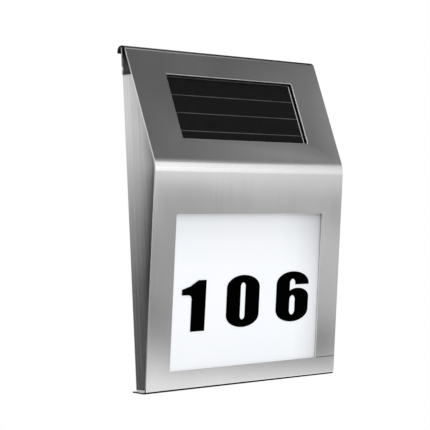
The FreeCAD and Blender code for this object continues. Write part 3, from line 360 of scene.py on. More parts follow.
def round_edges(piece, width, segments=2):
    """Breaks the edges that a fold or a mould leaves sharp, then shades the rest smooth."""
    sharp_from, smooth_to = math.radians(30), math.radians(40)
    work_on(piece)
    bevel = piece.modifiers.new("edges", "BEVEL")
    bevel.width = width * mm
    bevel.segments = segments
    bevel.limit_method = "ANGLE"
    bevel.angle_limit = sharp_from
    bevel.use_clamp_overlap = True
    bpy.ops.object.modifier_apply(modifier=bevel.name)
    bpy.ops.object.shade_smooth_by_angle(angle=smooth_to)
    flat = piece.modifiers.new("normals", "WEIGHTED_NORMAL")
    flat.keep_sharp = True
    bpy.ops.object.modifier_apply(modifier=flat.name)


def steel(name, grain, streak):
    """Brushed stainless. grain is how fast the brushing changes along each axis, per metre."""
    tone, gloss, lean = 0.72, 0.22, 0.9
    paint = Paint(name)
    streaks = paint.noise(grain, detail=6, rough=0.65)
    patches = paint.noise((22, 22, 16), detail=2)
    fine = paint.ramp(streaks, (0.25, tone * (1 - 2 * streak)), (0.5, tone), (0.78, tone * (1 + streak)))
    paint.colour = paint.tinted(fine, paint.ramp(patches, (0.3, 0.94), (0.7, 1.0)))
    uneven = paint.range(streaks, 0.2, 0.8, gloss - streak / 2, gloss + streak / 2)
    uneven = paint.maths("ADD", uneven, paint.range(patches, 0.3, 0.7, -0.02, 0.02))
    along = paint.add("Tangent", {"direction_type": "UV_MAP", "uv_map": "grain"}).outputs[0]
    paint.set(Base_Color=paint.colour, Metallic=1.0, Roughness=uneven, Anisotropic=lean, Tangent=along)
    paint.set(Normal=paint.bump(streaks, 0.05 * streak * mm))
    return paint


def lay_grain(piece, across):
    """A UV map whose U runs across the brushing, so that highlights spread that way."""
    grain = piece.data.uv_layers.new(name="grain")
    for face in piece.data.polygons:
        for k in face.loop_indices:
            spot = piece.data.vertices[piece.data.loops[k].vertex_index].co
            grain.data[k].uv = across(face, spot)


wing_lean_low, wing_reach_low = 0.1175, 23.49      # front line of the wings below the bend, then above it
wing_lean_high, wing_reach_high = 0.2867, 35.67
wing_inside, wing_outside = 86.2, 87.4
web_half_width, lip_foot = 87.0, 82.9
fixing_spacing, cup_floor, cup_rim = (120.0, 110.0), 7.0, 10.0


def on_cup_ring(edge):
    """True for an edge of a pressed cup's floor or rim."""
    out, up = (spacing / 2 for spacing in fixing_spacing)
    reaches = [math.hypot(abs(v.co.x) / mm - out, abs(v.co.z) / mm - up) for v in edge.verts]
    level = abs(edge.verts[0].co.y - edge.verts[1].co.y) < 0.01 * mm
    return level and any(all(abs(reach - ring) < 0.45 for reach in reaches) for ring in (cup_floor, cup_rim))


back_plate = copy_of_node("back_plate", "back_plate_tray")
edit()
pick("edges", on_cup_ring)
bpy.ops.mesh.bevel(offset=0.5 * mm, segments=3, affect="EDGES")
done()
round_edges(back_plate, width=0.12)
lay_grain(back_plate, lambda face, spot: (spot.x - spot.y * (1 if face.center.x < 0 else -1), spot.z))

# the sheet keeps its dull rolled finish on the sides that don't show, with painted shade darkening it up
# inside the curl
mill = Paint("mill_finish")
rolled = mill.noise((300, 300, 300), detail=3)
_, _, z = mill.xyz()
painted_shade_in_curl = mill.ramp(mill.range(z, 91 * mm, 95 * mm), (0.0, 1.0), (1.0, 0.25))
mill.set(Base_Color=mill.tinted(painted_shade_in_curl, mill.ramp(rolled, (0.3, 0.76), (0.7, 0.84))), Metallic=1.0)
mill.set(Roughness=mill.range(rolled, 0.3, 0.7, 0.40, 0.48), Normal=mill.bump(rolled, 0.004 * mm))
plate_steel = steel("plate_stainless", (1000, 1000, 9), streak=0.11).on(back_plate)
back_plate.data.materials.append(mill.material)
for face in back_plate.data.polygons:
    inside_wing = abs(face.normal.x) > 0.7 and face.normal.x * face.center.x < 0
    front_of_web = face.normal.y < -0.5 and abs(face.center.x) < web_half_width * mm
    front_of_lip = face.normal.y < 0 and face.center.z > lip_foot * mm
    face.material_index = 1 if inside_wing or front_of_web or front_of_lip else 0

# painted shade: the wings are darkened toward their front edge, where the hood's overhang shades them, most
# so at mid height
x, y, z = plate_steel.xyz()
low_front = plate_steel.maths("ADD", plate_steel.product(z, wing_lean_low), wing_reach_low * mm)
high_front = plate_steel.maths("ADD", plate_steel.product(z, -wing_lean_high), wing_reach_high * mm)
from_front = plate_steel.maths("ADD", plate_steel.maths("MINIMUM", low_front, high_front), y)
overhang_shade = plate_steel.ramp(plate_steel.range(from_front, 0.0, 20 * mm), (0.0, 0.16), (0.125, 0.26),
                        (0.25, 0.50), (0.45, 0.76), (0.70, 0.94), (1.0, 1.0))
on_wing = plate_steel.range(plate_steel.maths("ABSOLUTE", x), wing_inside * mm, wing_outside * mm)
shade_by_height = plate_steel.ramp(plate_steel.range(z, -100 * mm, 100 * mm), (0.0, 0.3), (0.13, 0.4), (0.32, 1.0),
                             (0.60, 1.0), (0.76, 0.4), (0.90, 0.25))
shaded_wing_colour = plate_steel.mix(plate_steel.product(on_wing, shade_by_height), plate_steel.colour,
                         plate_steel.tinted(plate_steel.colour, overhang_shade))
# painted shade: the wings are painted dark grey up by the lip, where the hood shades them
lip_painted_shade = plate_steel.product(on_wing, plate_steel.range(z, 81.5 * mm, 84.8 * mm))
plate_steel.set(Base_Color=plate_steel.mix(lip_painted_shade, shaded_wing_colour, (0.32, 0.32, 0.32)))
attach(back_plate, "back_plate")
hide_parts("back_plate")


# ---------------------------------------------------------------- hood
# One 0.8 mm brushed stainless sheet, folded from the foot up: foot flange, number face, crest, solar slope
# and the curl that hangs on the plate's lip. The windows' outer edges are broken, and the foot's slots are
# countersunk for the lock screws.
hood_width = 180.0
sheet = 0.8
bend_middle, bend_radius = (28.0 - 20.0, 128.5 - 100.0), 20.0
curl_middle, curl_radius, curl_tail = (5.82, 96.7), 3.3, 1.2
corner_middle, corner_radius, foot_flange = (11.62, 1.6 - 100.0), 1.6, 8.4
number_width, number_below_crest, number_rail = 140.0, 28.5, 11.7
solar_width, solar_above_crest, solar_height = 120.0, 16.5, 40.0
window_corner = 0.6
lock_spacing, lock_depth = 110.0, 7.2        # the slots, and the wall to their screws
slot_mouth = 2 * (2.75 + 0.12)


def side(depth, height):
    """A point in the side view by its depth out from the wall and its height, in millimetres."""
    return Vector((0, -depth, height)) * mm


def ray(angle):
    """Unit vector in the side view: 0 degrees out from the wall, 90 degrees up."""
    a = math.radians(angle)
    return Vector((0, -math.cos(a), math.sin(a)))


def lean_of(end, radius):
    """Lean of the flat leaf that touches the crest bend and the smaller bend at its far end."""
    step, rise = bend_middle[0] - end[0], abs(end[1] - bend_middle[1])
    return math.degrees(math.asin((bend_radius - radius) / math.hypot(step, rise)) + math.atan2(step, rise))


def leaning(degrees):
    return Matrix.Rotation(math.radians(degrees), 4, "X")


slope_lean, face_lean = lean_of(curl_middle, curl_radius), lean_of(corner_middle, corner_radius)
bend_at, curl_at, corner_at = side(*bend_middle), side(*curl_middle), side(*corner_middle)
face_run = (bend_at - corner_at).dot(ray(90 - face_lean))
slope_run = (curl_at - bend_at).dot(ray(90 + slope_lean))
crest_reach = bend_radius * mm / math.cos(math.radians((slope_lean + face_lean) / 2))
crest = bend_at + ray((slope_lean - face_lean) / 2) * crest_reach
face_length = (crest - corner_at).dot(ray(90 - face_lean)) + corner_radius * mm
foot_front = corner_at + ray(-90 - face_lean) * corner_radius * mm
foot_back = foot_front - ray(-face_lean) * foot_flange * mm
lock_inward = (-foot_front.y / mm - lock_depth) / math.cos(math.radians(face_lean))
lock_at = foot_front - ray(-face_lean) * lock_inward * mm
on_face = Matrix.Translation(crest) @ leaning(face_lean)
on_slope = Matrix.Translation(crest) @ leaning(-slope_lean)
number_head = -number_below_crest            # both ends of each window, up from the crest
number_foot = number_rail - face_length / mm
solar_foot, solar_head = solar_above_crest, solar_above_crest + solar_height


def far_edge(direction):
    """While editing, selects only the edge that lies square to a direction and furthest along it."""
    def reach(edge):
        a, b = (v.co for v in edge.verts)
        return (a + b).dot(direction) - 1000 * abs((a - b).dot(direction))

    mesh = bmesh.from_edit_mesh(bpy.context.object.data)
    furthest = max(reach(edge) for edge in mesh.edges)
    pick("edges", lambda edge: reach(edge) == furthest)


def pull(move):
    bpy.ops.mesh.extrude_region_move(TRANSFORM_OT_translate={"value": move})


def turn_round(middle, degrees, steps):
    bpy.ops.mesh.spin(steps=steps, angle=math.radians(degrees), center=middle, axis=(1, 0, 0))


def settle():
    """Takes the object's place and size into its mesh."""
    bpy.ops.object.transform_apply(location=True, rotation=True, scale=True)


def cutter(name, place, low, high, corner):
    """A block on one of the hood's leaves whose four through edges are rounded."""
    clear_selection()
    bpy.ops.mesh.primitive_cube_add(size=1)
    block = bpy.context.object
    block.name = name
    low, high = Vector(low) * mm, Vector(high) * mm
    block.matrix_world = place @ Matrix.Translation((low + high) / 2) @ Matrix.Diagonal((*(high - low), 1))
    settle()
    through_leaf = place.to_3x3() @ Vector((0, 1, 0))

    def goes_through(edge):
        along = (edge.verts[0].co - edge.verts[1].co).normalized()
        return abs(along.dot(through_leaf)) > 0.99

    edit()
    pick("edges", goes_through)
    bpy.ops.mesh.bevel(offset=corner * mm, segments=6, affect="EDGES")
    done()
    return block


def window_cutter(place, width, foot, head):
    return cutter("window_cut", place, (-width / 2, -1, foot), (width / 2, sheet + 1, head), window_corner)


def cut_out(piece, tool, how="DIFFERENCE"):
    work_on(piece)
    cut = piece.modifiers.new("cut", "BOOLEAN")
    cut.operation = how
    cut.solver = "EXACT"
    cut.object = tool
    bpy.ops.object.modifier_apply(modifier=cut.name)
    bpy.data.objects.remove(tool)


def slot_cutter(x):
    """A lock screw's countersink, open to the flange's back edge, so the hood swings off a slack screw."""
    clear_selection()
    wide, below, above = slot_mouth / 2 * mm, 0.5 * mm, 1.6 * mm
    bpy.ops.mesh.primitive_cone_add(vertices=48, radius1=wide + below, radius2=wide - above,
                                    depth=below + above, location=(0, 0, (above - below) / 2))
    tool = bpy.context.object
    tool.name = "slot_cut"
    settle()
    edit()
    pick("verts", lambda v: v.co.y > 0.01 * mm)
    bpy.ops.transform.translate(value=(0, (foot_flange + corner_radius) * mm, 0))
    done()
    tool.matrix_world = Matrix.Translation((x * mm, lock_at.y, lock_at.z)) @ leaning(face_lean)
    settle()
    return tool


clear_selection()
bpy.ops.mesh.primitive_plane_add(size=1)
hood = bpy.context.object
hood.name = "hood_sheet"
flange = Matrix.Diagonal((hood_width * mm, foot_flange * mm, 1, 1))
hood.matrix_world = Matrix.Translation((foot_front + foot_back) / 2) @ leaning(face_lean) @ flange
settle()
edit()
far_edge(ray(0))
turn_round(corner_at, 90, steps=10)
far_edge(ray(0))
pull(ray(90 - face_lean) * face_run)
turn_round(bend_at, face_lean + slope_lean, steps=24)
pull(ray(90 + slope_lean) * slope_run)
turn_round(curl_at, 180 - slope_lean, steps=32)
pull(ray(-90) * curl_tail * mm)
bpy.ops.mesh.select_all(action="SELECT")
bpy.ops.mesh.remove_doubles(threshold=0.001 * mm)
bpy.ops.mesh.normals_make_consistent(inside=False)
done()
# the faces have to look outwards before the sheet gets its thickness
if max(hood.data.polygons, key=lambda face: face.area).normal.y > 0:
    edit()
    bpy.ops.mesh.select_all(action="SELECT")
    bpy.ops.mesh.flip_normals()
    done()
thick = hood.modifiers.new("thickness", "SOLIDIFY")
thick.thickness = sheet * mm
thick.offset = -1
thick.use_even_offset = True
bpy.ops.object.modifier_apply(modifier=thick.name)
cut_out(hood, window_cutter(on_face, number_width, number_foot, number_head))
cut_out(hood, window_cutter(on_slope, solar_width, solar_foot, solar_head))
for x in (-lock_spacing / 2, lock_spacing / 2):
    cut_out(hood, slot_cutter(x))


def insets(face):
    """How deep in the sheet a face lies, as a share of its thickness, measured on each of the two leaves."""
    return [(place.inverted() @ face.center).y / (sheet * mm) for place in (on_face, on_slope)]


def is_cut(face):
    """True for a face of the sheet's own thickness: the hood's two sides and the rims of the windows."""
    if abs(face.center.x) > (hood_width / 2 - 0.05) * mm:
        return True
    by_window = abs(face.center.x) < (number_width / 2 + 0.1) * mm and face.center.z > foot_front.z + 8 * mm
    return by_window and any(0.2 < inset < 0.8 for inset in insets(face))


def break_window_edges(place, half_width, foot, head, width, finish):
    """Bevels the outer edges of one window more than the rest."""
    back = place.inverted()

    def on_rim(edge):
        ends = [(back @ v.co) / mm for v in edge.verts]
        in_frame = all(abs(q.x) < half_width + 0.05 and foot - 0.05 < q.z < head + 0.05 for q in ends)
        return in_frame and all(abs(q.y) < 0.02 for q in ends)

    work_on(hood)
    edit()
    pick("edges", on_rim)
    bpy.ops.mesh.bevel(offset=width * mm, segments=3, affect="EDGES", material=finish)
    done()


as_brushed, as_cut, as_rolled, as_painted_shade = range(4)
for _ in range(4):
    hood.data.materials.append(None)
for face in hood.data.polygons:
    face.material_index = as_cut if is_cut(face) else as_brushed
break_window_edges(on_slope, solar_width / 2, solar_foot, solar_head, width=0.36, finish=as_cut)
# painted shade: the number window's foot edge is bevelled in the dark steel, as a shadow line under the
# window
break_window_edges(on_face, number_width / 2 - 0.5, number_foot, number_foot, width=0.30, finish=as_painted_shade)
for face in hood.data.polygons:
    behind_leaf = any(0.98 < inset < 1.02 for inset in insets(face)) and abs(face.normal.x) < 0.1
    if behind_leaf and face.material_index == as_brushed:
        face.material_index = as_rolled
# painted shade: the inside of the curl gets the dark steel
for face in hood.data.polygons:
    from_curl = face.center - Vector((face.center.x, curl_at.y, curl_at.z))
    if from_curl.length < (curl_radius - sheet / 2) * mm and face.material_index == as_brushed:
        face.material_index = as_painted_shade
round_edges(hood, width=0.14)
lay_grain(hood, lambda face, spot: (spot.x, spot.z - spot.y))

# brushed outside, with a dark seam to the right of the number window's foot, and painted shade on the
# underside of the foot's front bend, full from the left end to the middle and weaker toward the right end
hood_steel = steel("hood_stainless", (700, 12, 12), streak=0.018)
x, y, z = hood_steel.xyz()
seam_height = (on_face @ Vector((0, 0, number_foot * mm))).z
from_seam = hood_steel.maths("ABSOLUTE", hood_steel.maths("SUBTRACT", z, seam_height))
seam = hood_steel.product(hood_steel.range(x, 70.3 * mm, 71.0 * mm),
                          hood_steel.range(from_seam, 0.45 * mm, 0.2 * mm))
painted_shade_under_foot = hood_steel.product(hood_steel.range(z, -98.8 * mm, -99.2 * mm),
                                hood_steel.range(y, -11.0 * mm, -11.8 * mm))
foot_shade_strength = hood_steel.range(x, 85 * mm, 5 * mm, 0.3, 1.0)
seamed = hood_steel.mix(seam, hood_steel.colour, (0.30, 0.30, 0.30))
hood_steel.set(Base_Color=hood_steel.mix(hood_steel.product(painted_shade_under_foot, foot_shade_strength), seamed, (0.04, 0.04, 0.04)))

# cut edges are bright along the leaves, a little brighter on the slope and darker up by the curl, and
# painted black as shade at the curl's and the foot's ends
cut_steel = Paint("cut_edge")
ridges = cut_steel.noise((1800, 1800, 1800), detail=3)
_, y, z = cut_steel.xyz()
edge_tone_and_shade = cut_steel.ramp(cut_steel.range(z, 0.0, 100 * mm), (0.0, 0.85), (0.28, 0.85), (0.34, 0.92),
                      (0.80, 0.92), (0.86, 0.62), (1.0, 0.58))
curl_end_shade = cut_steel.product(cut_steel.range(z, 92 * mm, 92.5 * mm), cut_steel.range(y, -9.0 * mm, -8.2 * mm))
foot_end_shade = cut_steel.range(z, -96.6 * mm, -97.4 * mm)
edge_tone_and_shade = cut_steel.mix(cut_steel.maths("MAXIMUM", curl_end_shade, foot_end_shade), edge_tone_and_shade, (0.04, 0.04, 0.04))
cut_steel.set(Base_Color=cut_steel.tinted(edge_tone_and_shade, cut_steel.ramp(ridges, (0.3, 0.85), (0.7, 1.0))))
cut_steel.set(Metallic=1.0, Roughness=cut_steel.range(ridges, 0.3, 0.7, 0.36, 0.46))
cut_steel.set(Normal=cut_steel.bump(ridges, 0.01 * mm))

# dark steel that is painted shade, for the inside of the curl and the number window's foot edge
painted_shade_steel = Paint("dark_steel_painted_shade")
scale_marks = painted_shade_steel.noise((200, 500, 500), detail=3)
painted_shade_steel.set(Base_Color=painted_shade_steel.ramp(scale_marks, (0.3, 0.05), (0.7, 0.09)), Metallic=1.0)
painted_shade_steel.set(Roughness=painted_shade_steel.range(scale_marks, 0.3, 0.7, 0.40, 0.50))
finishes = ((as_brushed, hood_steel), (as_cut, cut_steel), (as_rolled, mill), (as_painted_shade, painted_shade_steel))
for finish, paint in finishes:
    hood.data.materials[finish] = paint.material
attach(hood, "hood")
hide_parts("front_hood")


# ---------------------------------------------------------------- lock screws and nuts
# Two M3 countersunk machine screws, bright zinc plated, go up through the foot's slots into nuts welded on
# the plate's tabs. Four nuts on welded studs clamp the housing behind the hood. All nuts and the studs are
# plain steel.
def screw_metal(name, tone, tint=(1.0, 1.0, 1.0)):
    paint = Paint(name)
    grit = paint.noise((900, 900, 900), detail=4)
    low, high = (tuple(c * t * tone for c in tint) for t in (0.82, 1.08))
    paint.set(Base_Color=paint.ramp(grit, (0.3, low), (0.7, high)), Metallic=1.0)
    paint.set(Roughness=paint.range(grit, 0.3, 0.7, 0.24, 0.40), Normal=paint.bump(grit, 0.01 * mm))
    return paint


zinc = screw_metal("bright_zinc", tone=0.66, tint=(0.98, 1.0, 1.03))
weld_nut = screw_metal("weld_nut_steel", tone=0.5, tint=(1.04, 1.0, 0.93))
weld_nut.on(cad["housing_studs"])
recess_reach, recess_width, recess_depth, recess_corner = 1.45, 0.62, 0.85, 0.12
lock_screws = copy_of_node("lock_screws", "countersunk_screws")
for x in (-lock_spacing / 2, lock_spacing / 2):
    for turn in (0, 90):
        head = Matrix.Translation((x * mm, lock_at.y, lock_at.z)) @ leaning(face_lean)
        across_head = head @ Matrix.Rotation(math.radians(turn), 4, "Z") @ leaning(90)
        blade = cutter("recess_cut", across_head, (-recess_reach, -recess_depth, -recess_width / 2),
                       (recess_reach, 0.6, recess_width / 2), recess_corner)
        cut_out(lock_screws, blade)
round_edges(lock_screws, width=0.05)
zinc.on(lock_screws)
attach(lock_screws, "back_plate")
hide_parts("lock_screws")
for node, name, body in (("lock_nuts", "weld_nuts", "back_plate"), ("stud_nuts", "clamping_nuts", "hood")):
    nuts = copy_of_node(node, name)
    round_edges(nuts, width=0.22, segments=3)
    weld_nut.on(nuts)
    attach(nuts, body)
    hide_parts(node)


# ---------------------------------------------------------------- lamp housing
# Injection moulded in white ABS: tub, brim, pockets for both panels, partition, battery trough and door
# rails. It is spark eroded, so it has a fine even grain. The studs and nuts clamp it behind the hood, and
# its ribbed door slides on the rails.
def moulded(name, colour, rough=0.5, grain=0.015, spread=0.04):
    paint = Paint(name)
    spots = paint.noise((1800, 1800, 1800), detail=3)
    flow = paint.noise((25, 25, 60), detail=2)
    dark = tuple(c * (1 - spread) for c in colour)
    paint.set(Base_Color=paint.ramp(flow, (0.3, dark), (0.7, colour)))
    paint.set(Roughness=paint.range(spots, 0.3, 0.7, rough - 0.06, rough + 0.06))
    paint.set(Normal=paint.bump(spots, grain * mm))
    return paint


abs_white = moulded("abs_white", (0.78, 0.78, 0.76))
for node, name, body, width in (("lamp_housing", "housing_shell", "hood", 0.25),
                                ("battery_door", "ribbed_battery_door", "battery_door", 0.18)):
    moulding = copy_of_node(node, name)
    round_edges(moulding, width)
    abs_white.on(moulding)
    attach(moulding, body)
    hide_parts(node)


# ---------------------------------------------------------------- number panel and numerals
# Opal acrylic in its pocket in the housing, lit from behind. It glows evenly but for its right end, its top
# and its foot, which are a little dimmer. The numerals are matt black sheet, stuck on it.
opal = Paint("opal_lit")
x, _, z = opal.xyz()
tint = opal.ramp(opal.noise((9, 9, 7), detail=2), (0.3, (0.925, 0.957, 1.0)), (0.7, (0.955, 0.972, 1.0)))
to_right = opal.ramp(opal.range(x, 46 * mm, 70 * mm), (0.0, 1.0), (0.5, 0.86), (1.0, 0.62))
to_head = opal.ramp(opal.range(z, -30 * mm, 1 * mm), (0.0, 1.0), (0.5, 0.90), (0.85, 0.72), (1.0, 0.53))
to_foot = opal.ramp(opal.range(z, -65 * mm, -86 * mm), (0.0, 1.0), (1.0, 0.93))
to_corner = opal.product(opal.range(x, 30 * mm, 68 * mm), opal.range(z, -45 * mm, 1 * mm))
level = opal.product(opal.product(to_right, to_head), to_foot)
level = opal.maths("SUBTRACT", level, opal.product(to_corner, 0.33))
opal.set(Base_Color=opal.tinted(tint, (0.46, 0.46, 0.46)), Roughness=0.4, Specular_IOR_Level=0.3)
# painted light: the backlight is painted as the panel's own glow, dimmed toward its right end, its top and
# its foot
opal.set(Emission_Color=opal.tinted(tint, level), Emission_Strength=0.53)
opal.on(cad["number_panel"])

numeral_back, numeral_front = 1.3, 0.9       # behind the hood's outer face
one_node_height, one_height = 32.0, 30.0     # the node's, and what the numeral has
one_shift, one_narrower = -0.85, 0.955


def oblong(name, middle, low, high, half, cap, back=numeral_back, front=numeral_front):
    """A slab with oval ends on the panel, from low to high up from the crest.

    It is a circle, stretched to half and cap from its middle, whose halves are pulled apart, then thickened.
    """
    clear_selection()
    sides = 72
    bpy.ops.mesh.primitive_circle_add(vertices=sides, radius=1, fill_type="NGON",
                                      rotation=(0, 0, math.pi / sides))
    slab = bpy.context.object
    slab.name = name
    settle()
    edit()
    bpy.ops.mesh.select_all(action="SELECT")
    bpy.ops.transform.resize(value=(half * mm, cap * mm, 1))
    apart = (high - low) / 2 - cap
    for way in (1, -1):
        pick("verts", lambda v: v.co.y * way > 0)
        bpy.ops.transform.translate(value=(0, way * apart * mm, 0))
    bpy.ops.mesh.select_all(action="SELECT")
    bpy.ops.mesh.extrude_region_move(TRANSFORM_OT_translate={"value": (0, 0, (back - front) * mm)})
    bpy.ops.mesh.select_all(action="SELECT")
    bpy.ops.mesh.normals_make_consistent(inside=False)
    done()
    slab_at = Matrix.Translation(Vector((middle, back, (low + high) / 2)) * mm)
    slab.matrix_world = on_face @ slab_at @ leaning(90)
    settle()
    return slab


def hole(**size):
    return oblong("numeral_cut", back=numeral_back + 0.5, front=numeral_front - 0.5, **size)


nought = oblong("nought", middle=-4.45, low=-96.7, high=-65.3, half=15.5, cap=7.6)
cut_out(nought, hole(middle=-4.7, low=-92.1, high=-69.8, half=2.45, cap=2.4))
six = oblong("six", middle=44.2, low=-95.6, high=-64.4, half=16.15, cap=7.7)
cut_out(six, hole(middle=44.0, low=-82.0, high=-69.0, half=2.85, cap=2.7))
cut_out(six, cutter("arm_cut", on_face, (44.5, 0, -80.5), (64, 2, -72.6), corner=0.02))
cut_out(six, oblong("bowl", middle=49.3, low=-88.0, high=-74.8, half=11.1, cap=5.6), "UNION")
cut_out(six, hole(middle=44.15, low=-91.3, high=-79.2, half=2.9, cap=2.8))
one = copy_of_node("numeral_one", "one")
node_low, node_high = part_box("numeral_one")
edit()
bpy.ops.mesh.select_all(action="SELECT")
foot_corner = Vector((node_high.x, node_high.y, node_low.z))
bpy.ops.transform.resize(value=(one_narrower, 1, one_height / one_node_height), orient_type="LOCAL",
                         center_override=foot_corner)
bpy.ops.transform.translate(value=(one_shift * mm, 0, 0))
done()
ink = Paint("numeral_black")
grain = ink.noise((2500, 2500, 2500), detail=2)
ink.set(Base_Color=ink.ramp(grain, (0.3, 0.0002), (0.7, 0.0006)), Roughness=0.85, Specular_IOR_Level=0.003)
ink.set(Normal=ink.bump(grain, 0.01 * mm))
for numeral, node in ((one, "numeral_one"), (nought, "numeral_zero"), (six, "numeral_six")):
    ink.on(numeral)
    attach(numeral, "hood")
    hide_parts(node)


# ---------------------------------------------------------------- seals
# Closed-cell black foam, die cut. One frame lies between the hood and the solar board, round its window, and
# one between the hood and the number panel's margin.
foam = Paint("black_foam")
cells = foam.add("TexVoronoi", Vector=foam.place((2600, 2600, 2600)), Scale=1.0).outputs["Distance"]
foam.set(Base_Color=foam.ramp(cells, (0.0, 0.0008), (0.6, 0.0025)), Roughness=0.95, Specular_IOR_Level=0.01)
foam.set(Normal=foam.bump(cells, 0.06 * mm))
foam.on(cad["solar_seal"], cad["number_panel_seal"])


# ---------------------------------------------------------------- solar panel
# Four dark silicon strips under clear laminate on a black board, with fine tinned ribbons between them and
# wider ones at their ends. The board lies in its own pocket in the housing.
cell = Paint("silicon")
crystal = cell.noise((400, 400, 400), detail=3)
cell.set(Base_Color=cell.ramp(crystal, (0.3, (0.0055, 0.0055, 0.006)), (0.7, (0.0085, 0.0085, 0.009))))
cell.set(Roughness=0.4, Specular_IOR_Level=0.035)
cell.on(cad["solar_cells"])
ribbon = Paint("tinned_ribbon")
pull_marks = ribbon.noise((90, 900, 900), detail=3)
ribbon.set(Base_Color=ribbon.ramp(pull_marks, (0.3, 0.15), (0.7, 0.21)), Metallic=1.0, Roughness=0.45)
ribbon.on(cad["solar_ribbons"])
laminate = moulded("black_laminate", (0.009, 0.009, 0.010), rough=0.45)
laminate.on(cad["solar_board"])
solder_tin = Paint("solder_tin")
dabs = solder_tin.noise((900, 900, 160), detail=3)
solder_tin.set(Base_Color=solder_tin.ramp(dabs, (0.3, 0.42), (0.7, 0.60)))
solder_tin.set(Roughness=0.5, Specular_IOR_Level=0.6)

end_ribbon_width, end_ribbon_middle = 0.9, 59.35
ribbon_front, ribbon_back, ribbon_foot, ribbon_head = 2.36, 2.6, 11.1, 56.0
for name, x in (("side_ribbon_left", -end_ribbon_middle), ("side_ribbon_right", end_ribbon_middle)):
    clear_selection()
    bpy.ops.mesh.primitive_cube_add(size=1)
    strip = bpy.context.object
    strip.name = name
    middle = Vector((x, (ribbon_front + ribbon_back) / 2, (ribbon_foot + ribbon_head) / 2)) * mm
    size = (end_ribbon_width * mm, (ribbon_back - ribbon_front) * mm, (ribbon_head - ribbon_foot) * mm)
    strip.matrix_world = on_slope @ Matrix.Translation(middle) @ Matrix.Diagonal((*size, 1))
    settle()
    round_edges(strip, width=0.05)
    solder_tin.on(strip)
    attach(strip, "hood")


# ---------------------------------------------------------------- light box
# White circuit board with six flat LEDs that shine down, slid into ribs in the housing, and a sheet of white
# reflector film behind.
def solder_mask(name, colour):
    """Circuit board: glassy mask over faint copper tracks and the weave of the glass cloth."""
    paint = Paint(name)
    bands = {"wave_type": "BANDS", "bands_direction": "DIAGONAL"}
    weave = paint.add("TexWave", bands, Vector=paint.place(), Scale=420.0, Distortion=0.6, Detail=2.0)
    upright = paint.place(turn=(math.radians(90), 0, 0))
    grid = {"offset": 0.37, "squash": 1.6}
    tracks = paint.add("TexBrick", grid, Vector=upright, Scale=90.0, Mortar_Size=0.06).outputs["Fac"]
    dark = tuple(c * 0.72 for c in colour)
    light = tuple(min(1.0, c * 1.25) for c in colour)
    cloth = paint.ramp(weave.outputs["Fac"], (0.2, dark), (0.8, colour))
    paint.set(Base_Color=paint.mix(tracks, cloth, light), Roughness=0.32)
    paint.set(Normal=paint.bump(tracks, 0.03 * mm))
    return paint


solder_mask("mask_white", (0.70, 0.71, 0.70)).on(cad["led_board"])
epoxy = Paint("led_epoxy")
spot = epoxy.add("TexVoronoi", Vector=epoxy.place((200, 200, 200)), Scale=1.0).outputs["Distance"]
epoxy.set(Base_Color=epoxy.ramp(spot, (0.0, (0.80, 0.72, 0.30)), (0.5, (0.90, 0.88, 0.78))), Roughness=0.2)
epoxy.set(Emission_Color=(1.0, 0.98, 0.9, 1), Emission_Strength=0.6)
epoxy.on(cad["leds"])
film = moulded("reflector_film", (0.88, 0.88, 0.88), rough=0.65, grain=0.006, spread=0.02)
film.on(cad["reflector_sheet"])


# ---------------------------------------------------------------- battery and contacts
# AA rechargeable cell in a shrunk plastic sleeve with a pale band. It lies in the housing's trough between
# two nickel plated contacts.
def turned(name, place, sides, *rings):
    """A turned piece: rings of (radius, height) from its foot up, closed at both ends."""
    clear_selection()
    radius, height = rings[0]
    bpy.ops.mesh.primitive_circle_add(vertices=sides, radius=radius * mm, fill_type="NGON",
                                      location=(0, 0, height * mm))
    piece = bpy.context.object
    piece.name = name
    settle()
    edit()
    bpy.ops.mesh.select_all(action="SELECT")
    for wider, higher in rings[1:]:
        bpy.ops.mesh.extrude_region_move(TRANSFORM_OT_translate={"value": (0, 0, (higher - height) * mm)})
        bpy.ops.transform.resize(value=(wider / radius, wider / radius, 1))
        radius, height = wider, higher
    bpy.ops.mesh.select_all(action="SELECT")
    bpy.ops.mesh.normals_make_consistent(inside=False)
    done()
    piece.matrix_world = place
    settle()
    bpy.ops.object.shade_smooth_by_angle(angle=math.radians(30))
    return piece


battery_low, battery_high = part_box("battery_cell")
battery_middle = (battery_low + battery_high) / 2
battery_end = Matrix.Translation((battery_low.x, battery_middle.y, battery_middle.z))
cell_sides = 64
battery = turned("aa_cell", battery_end @ Matrix.Rotation(math.radians(90), 4, "Y"), cell_sides,
                 (4.4, 0.12), (5.7, 0.12), (5.9, 0.0), (6.6, 0.0), (7.0, 0.15), (7.1, 0.5),
                 (7.1, 48.3), (6.95, 48.75), (6.4, 49.0), (5.9, 48.95), (5.7, 48.6), (3.4, 48.6),
                 (2.9, 48.9), (2.75, 49.3), (2.75, 50.1), (2.55, 50.4), (2.2, 50.5))
sleeve = Paint("cell_sleeve")
x, _, _ = sleeve.xyz()
crinkle = sleeve.noise((60, 500, 500), detail=3)
bare, deep_green, green = (0.55, 0.55, 0.56), (0.03, 0.16, 0.08), (0.04, 0.20, 0.10)
pale, paler = (0.62, 0.62, 0.58), (0.66, 0.66, 0.62)
bands = sleeve.ramp(sleeve.range(x, battery_low.x, battery_high.x),
                    (0.0, bare), (0.012, deep_green), (0.70, green), (0.705, pale), (0.90, paler),
                    (0.905, deep_green), (0.962, deep_green), (0.966, bare))
sheen = sleeve.range(crinkle, 0.35, 0.65, 0.0, 0.25)
sleeve.set(Base_Color=sleeve.mix(sheen, bands, (0.3, 0.32, 0.3)), Roughness=0.28, Coat_Weight=0.4)
sleeve.set(Normal=sleeve.bump(crinkle, 0.03 * mm))
sleeve.on(battery)
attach(battery, "hood")
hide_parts("battery_cell")
nickel = screw_metal("nickel_strip", tone=0.74, tint=(1.0, 0.99, 0.95))
nickel.on(cad["contact_plate"], cad["contact_spring"])


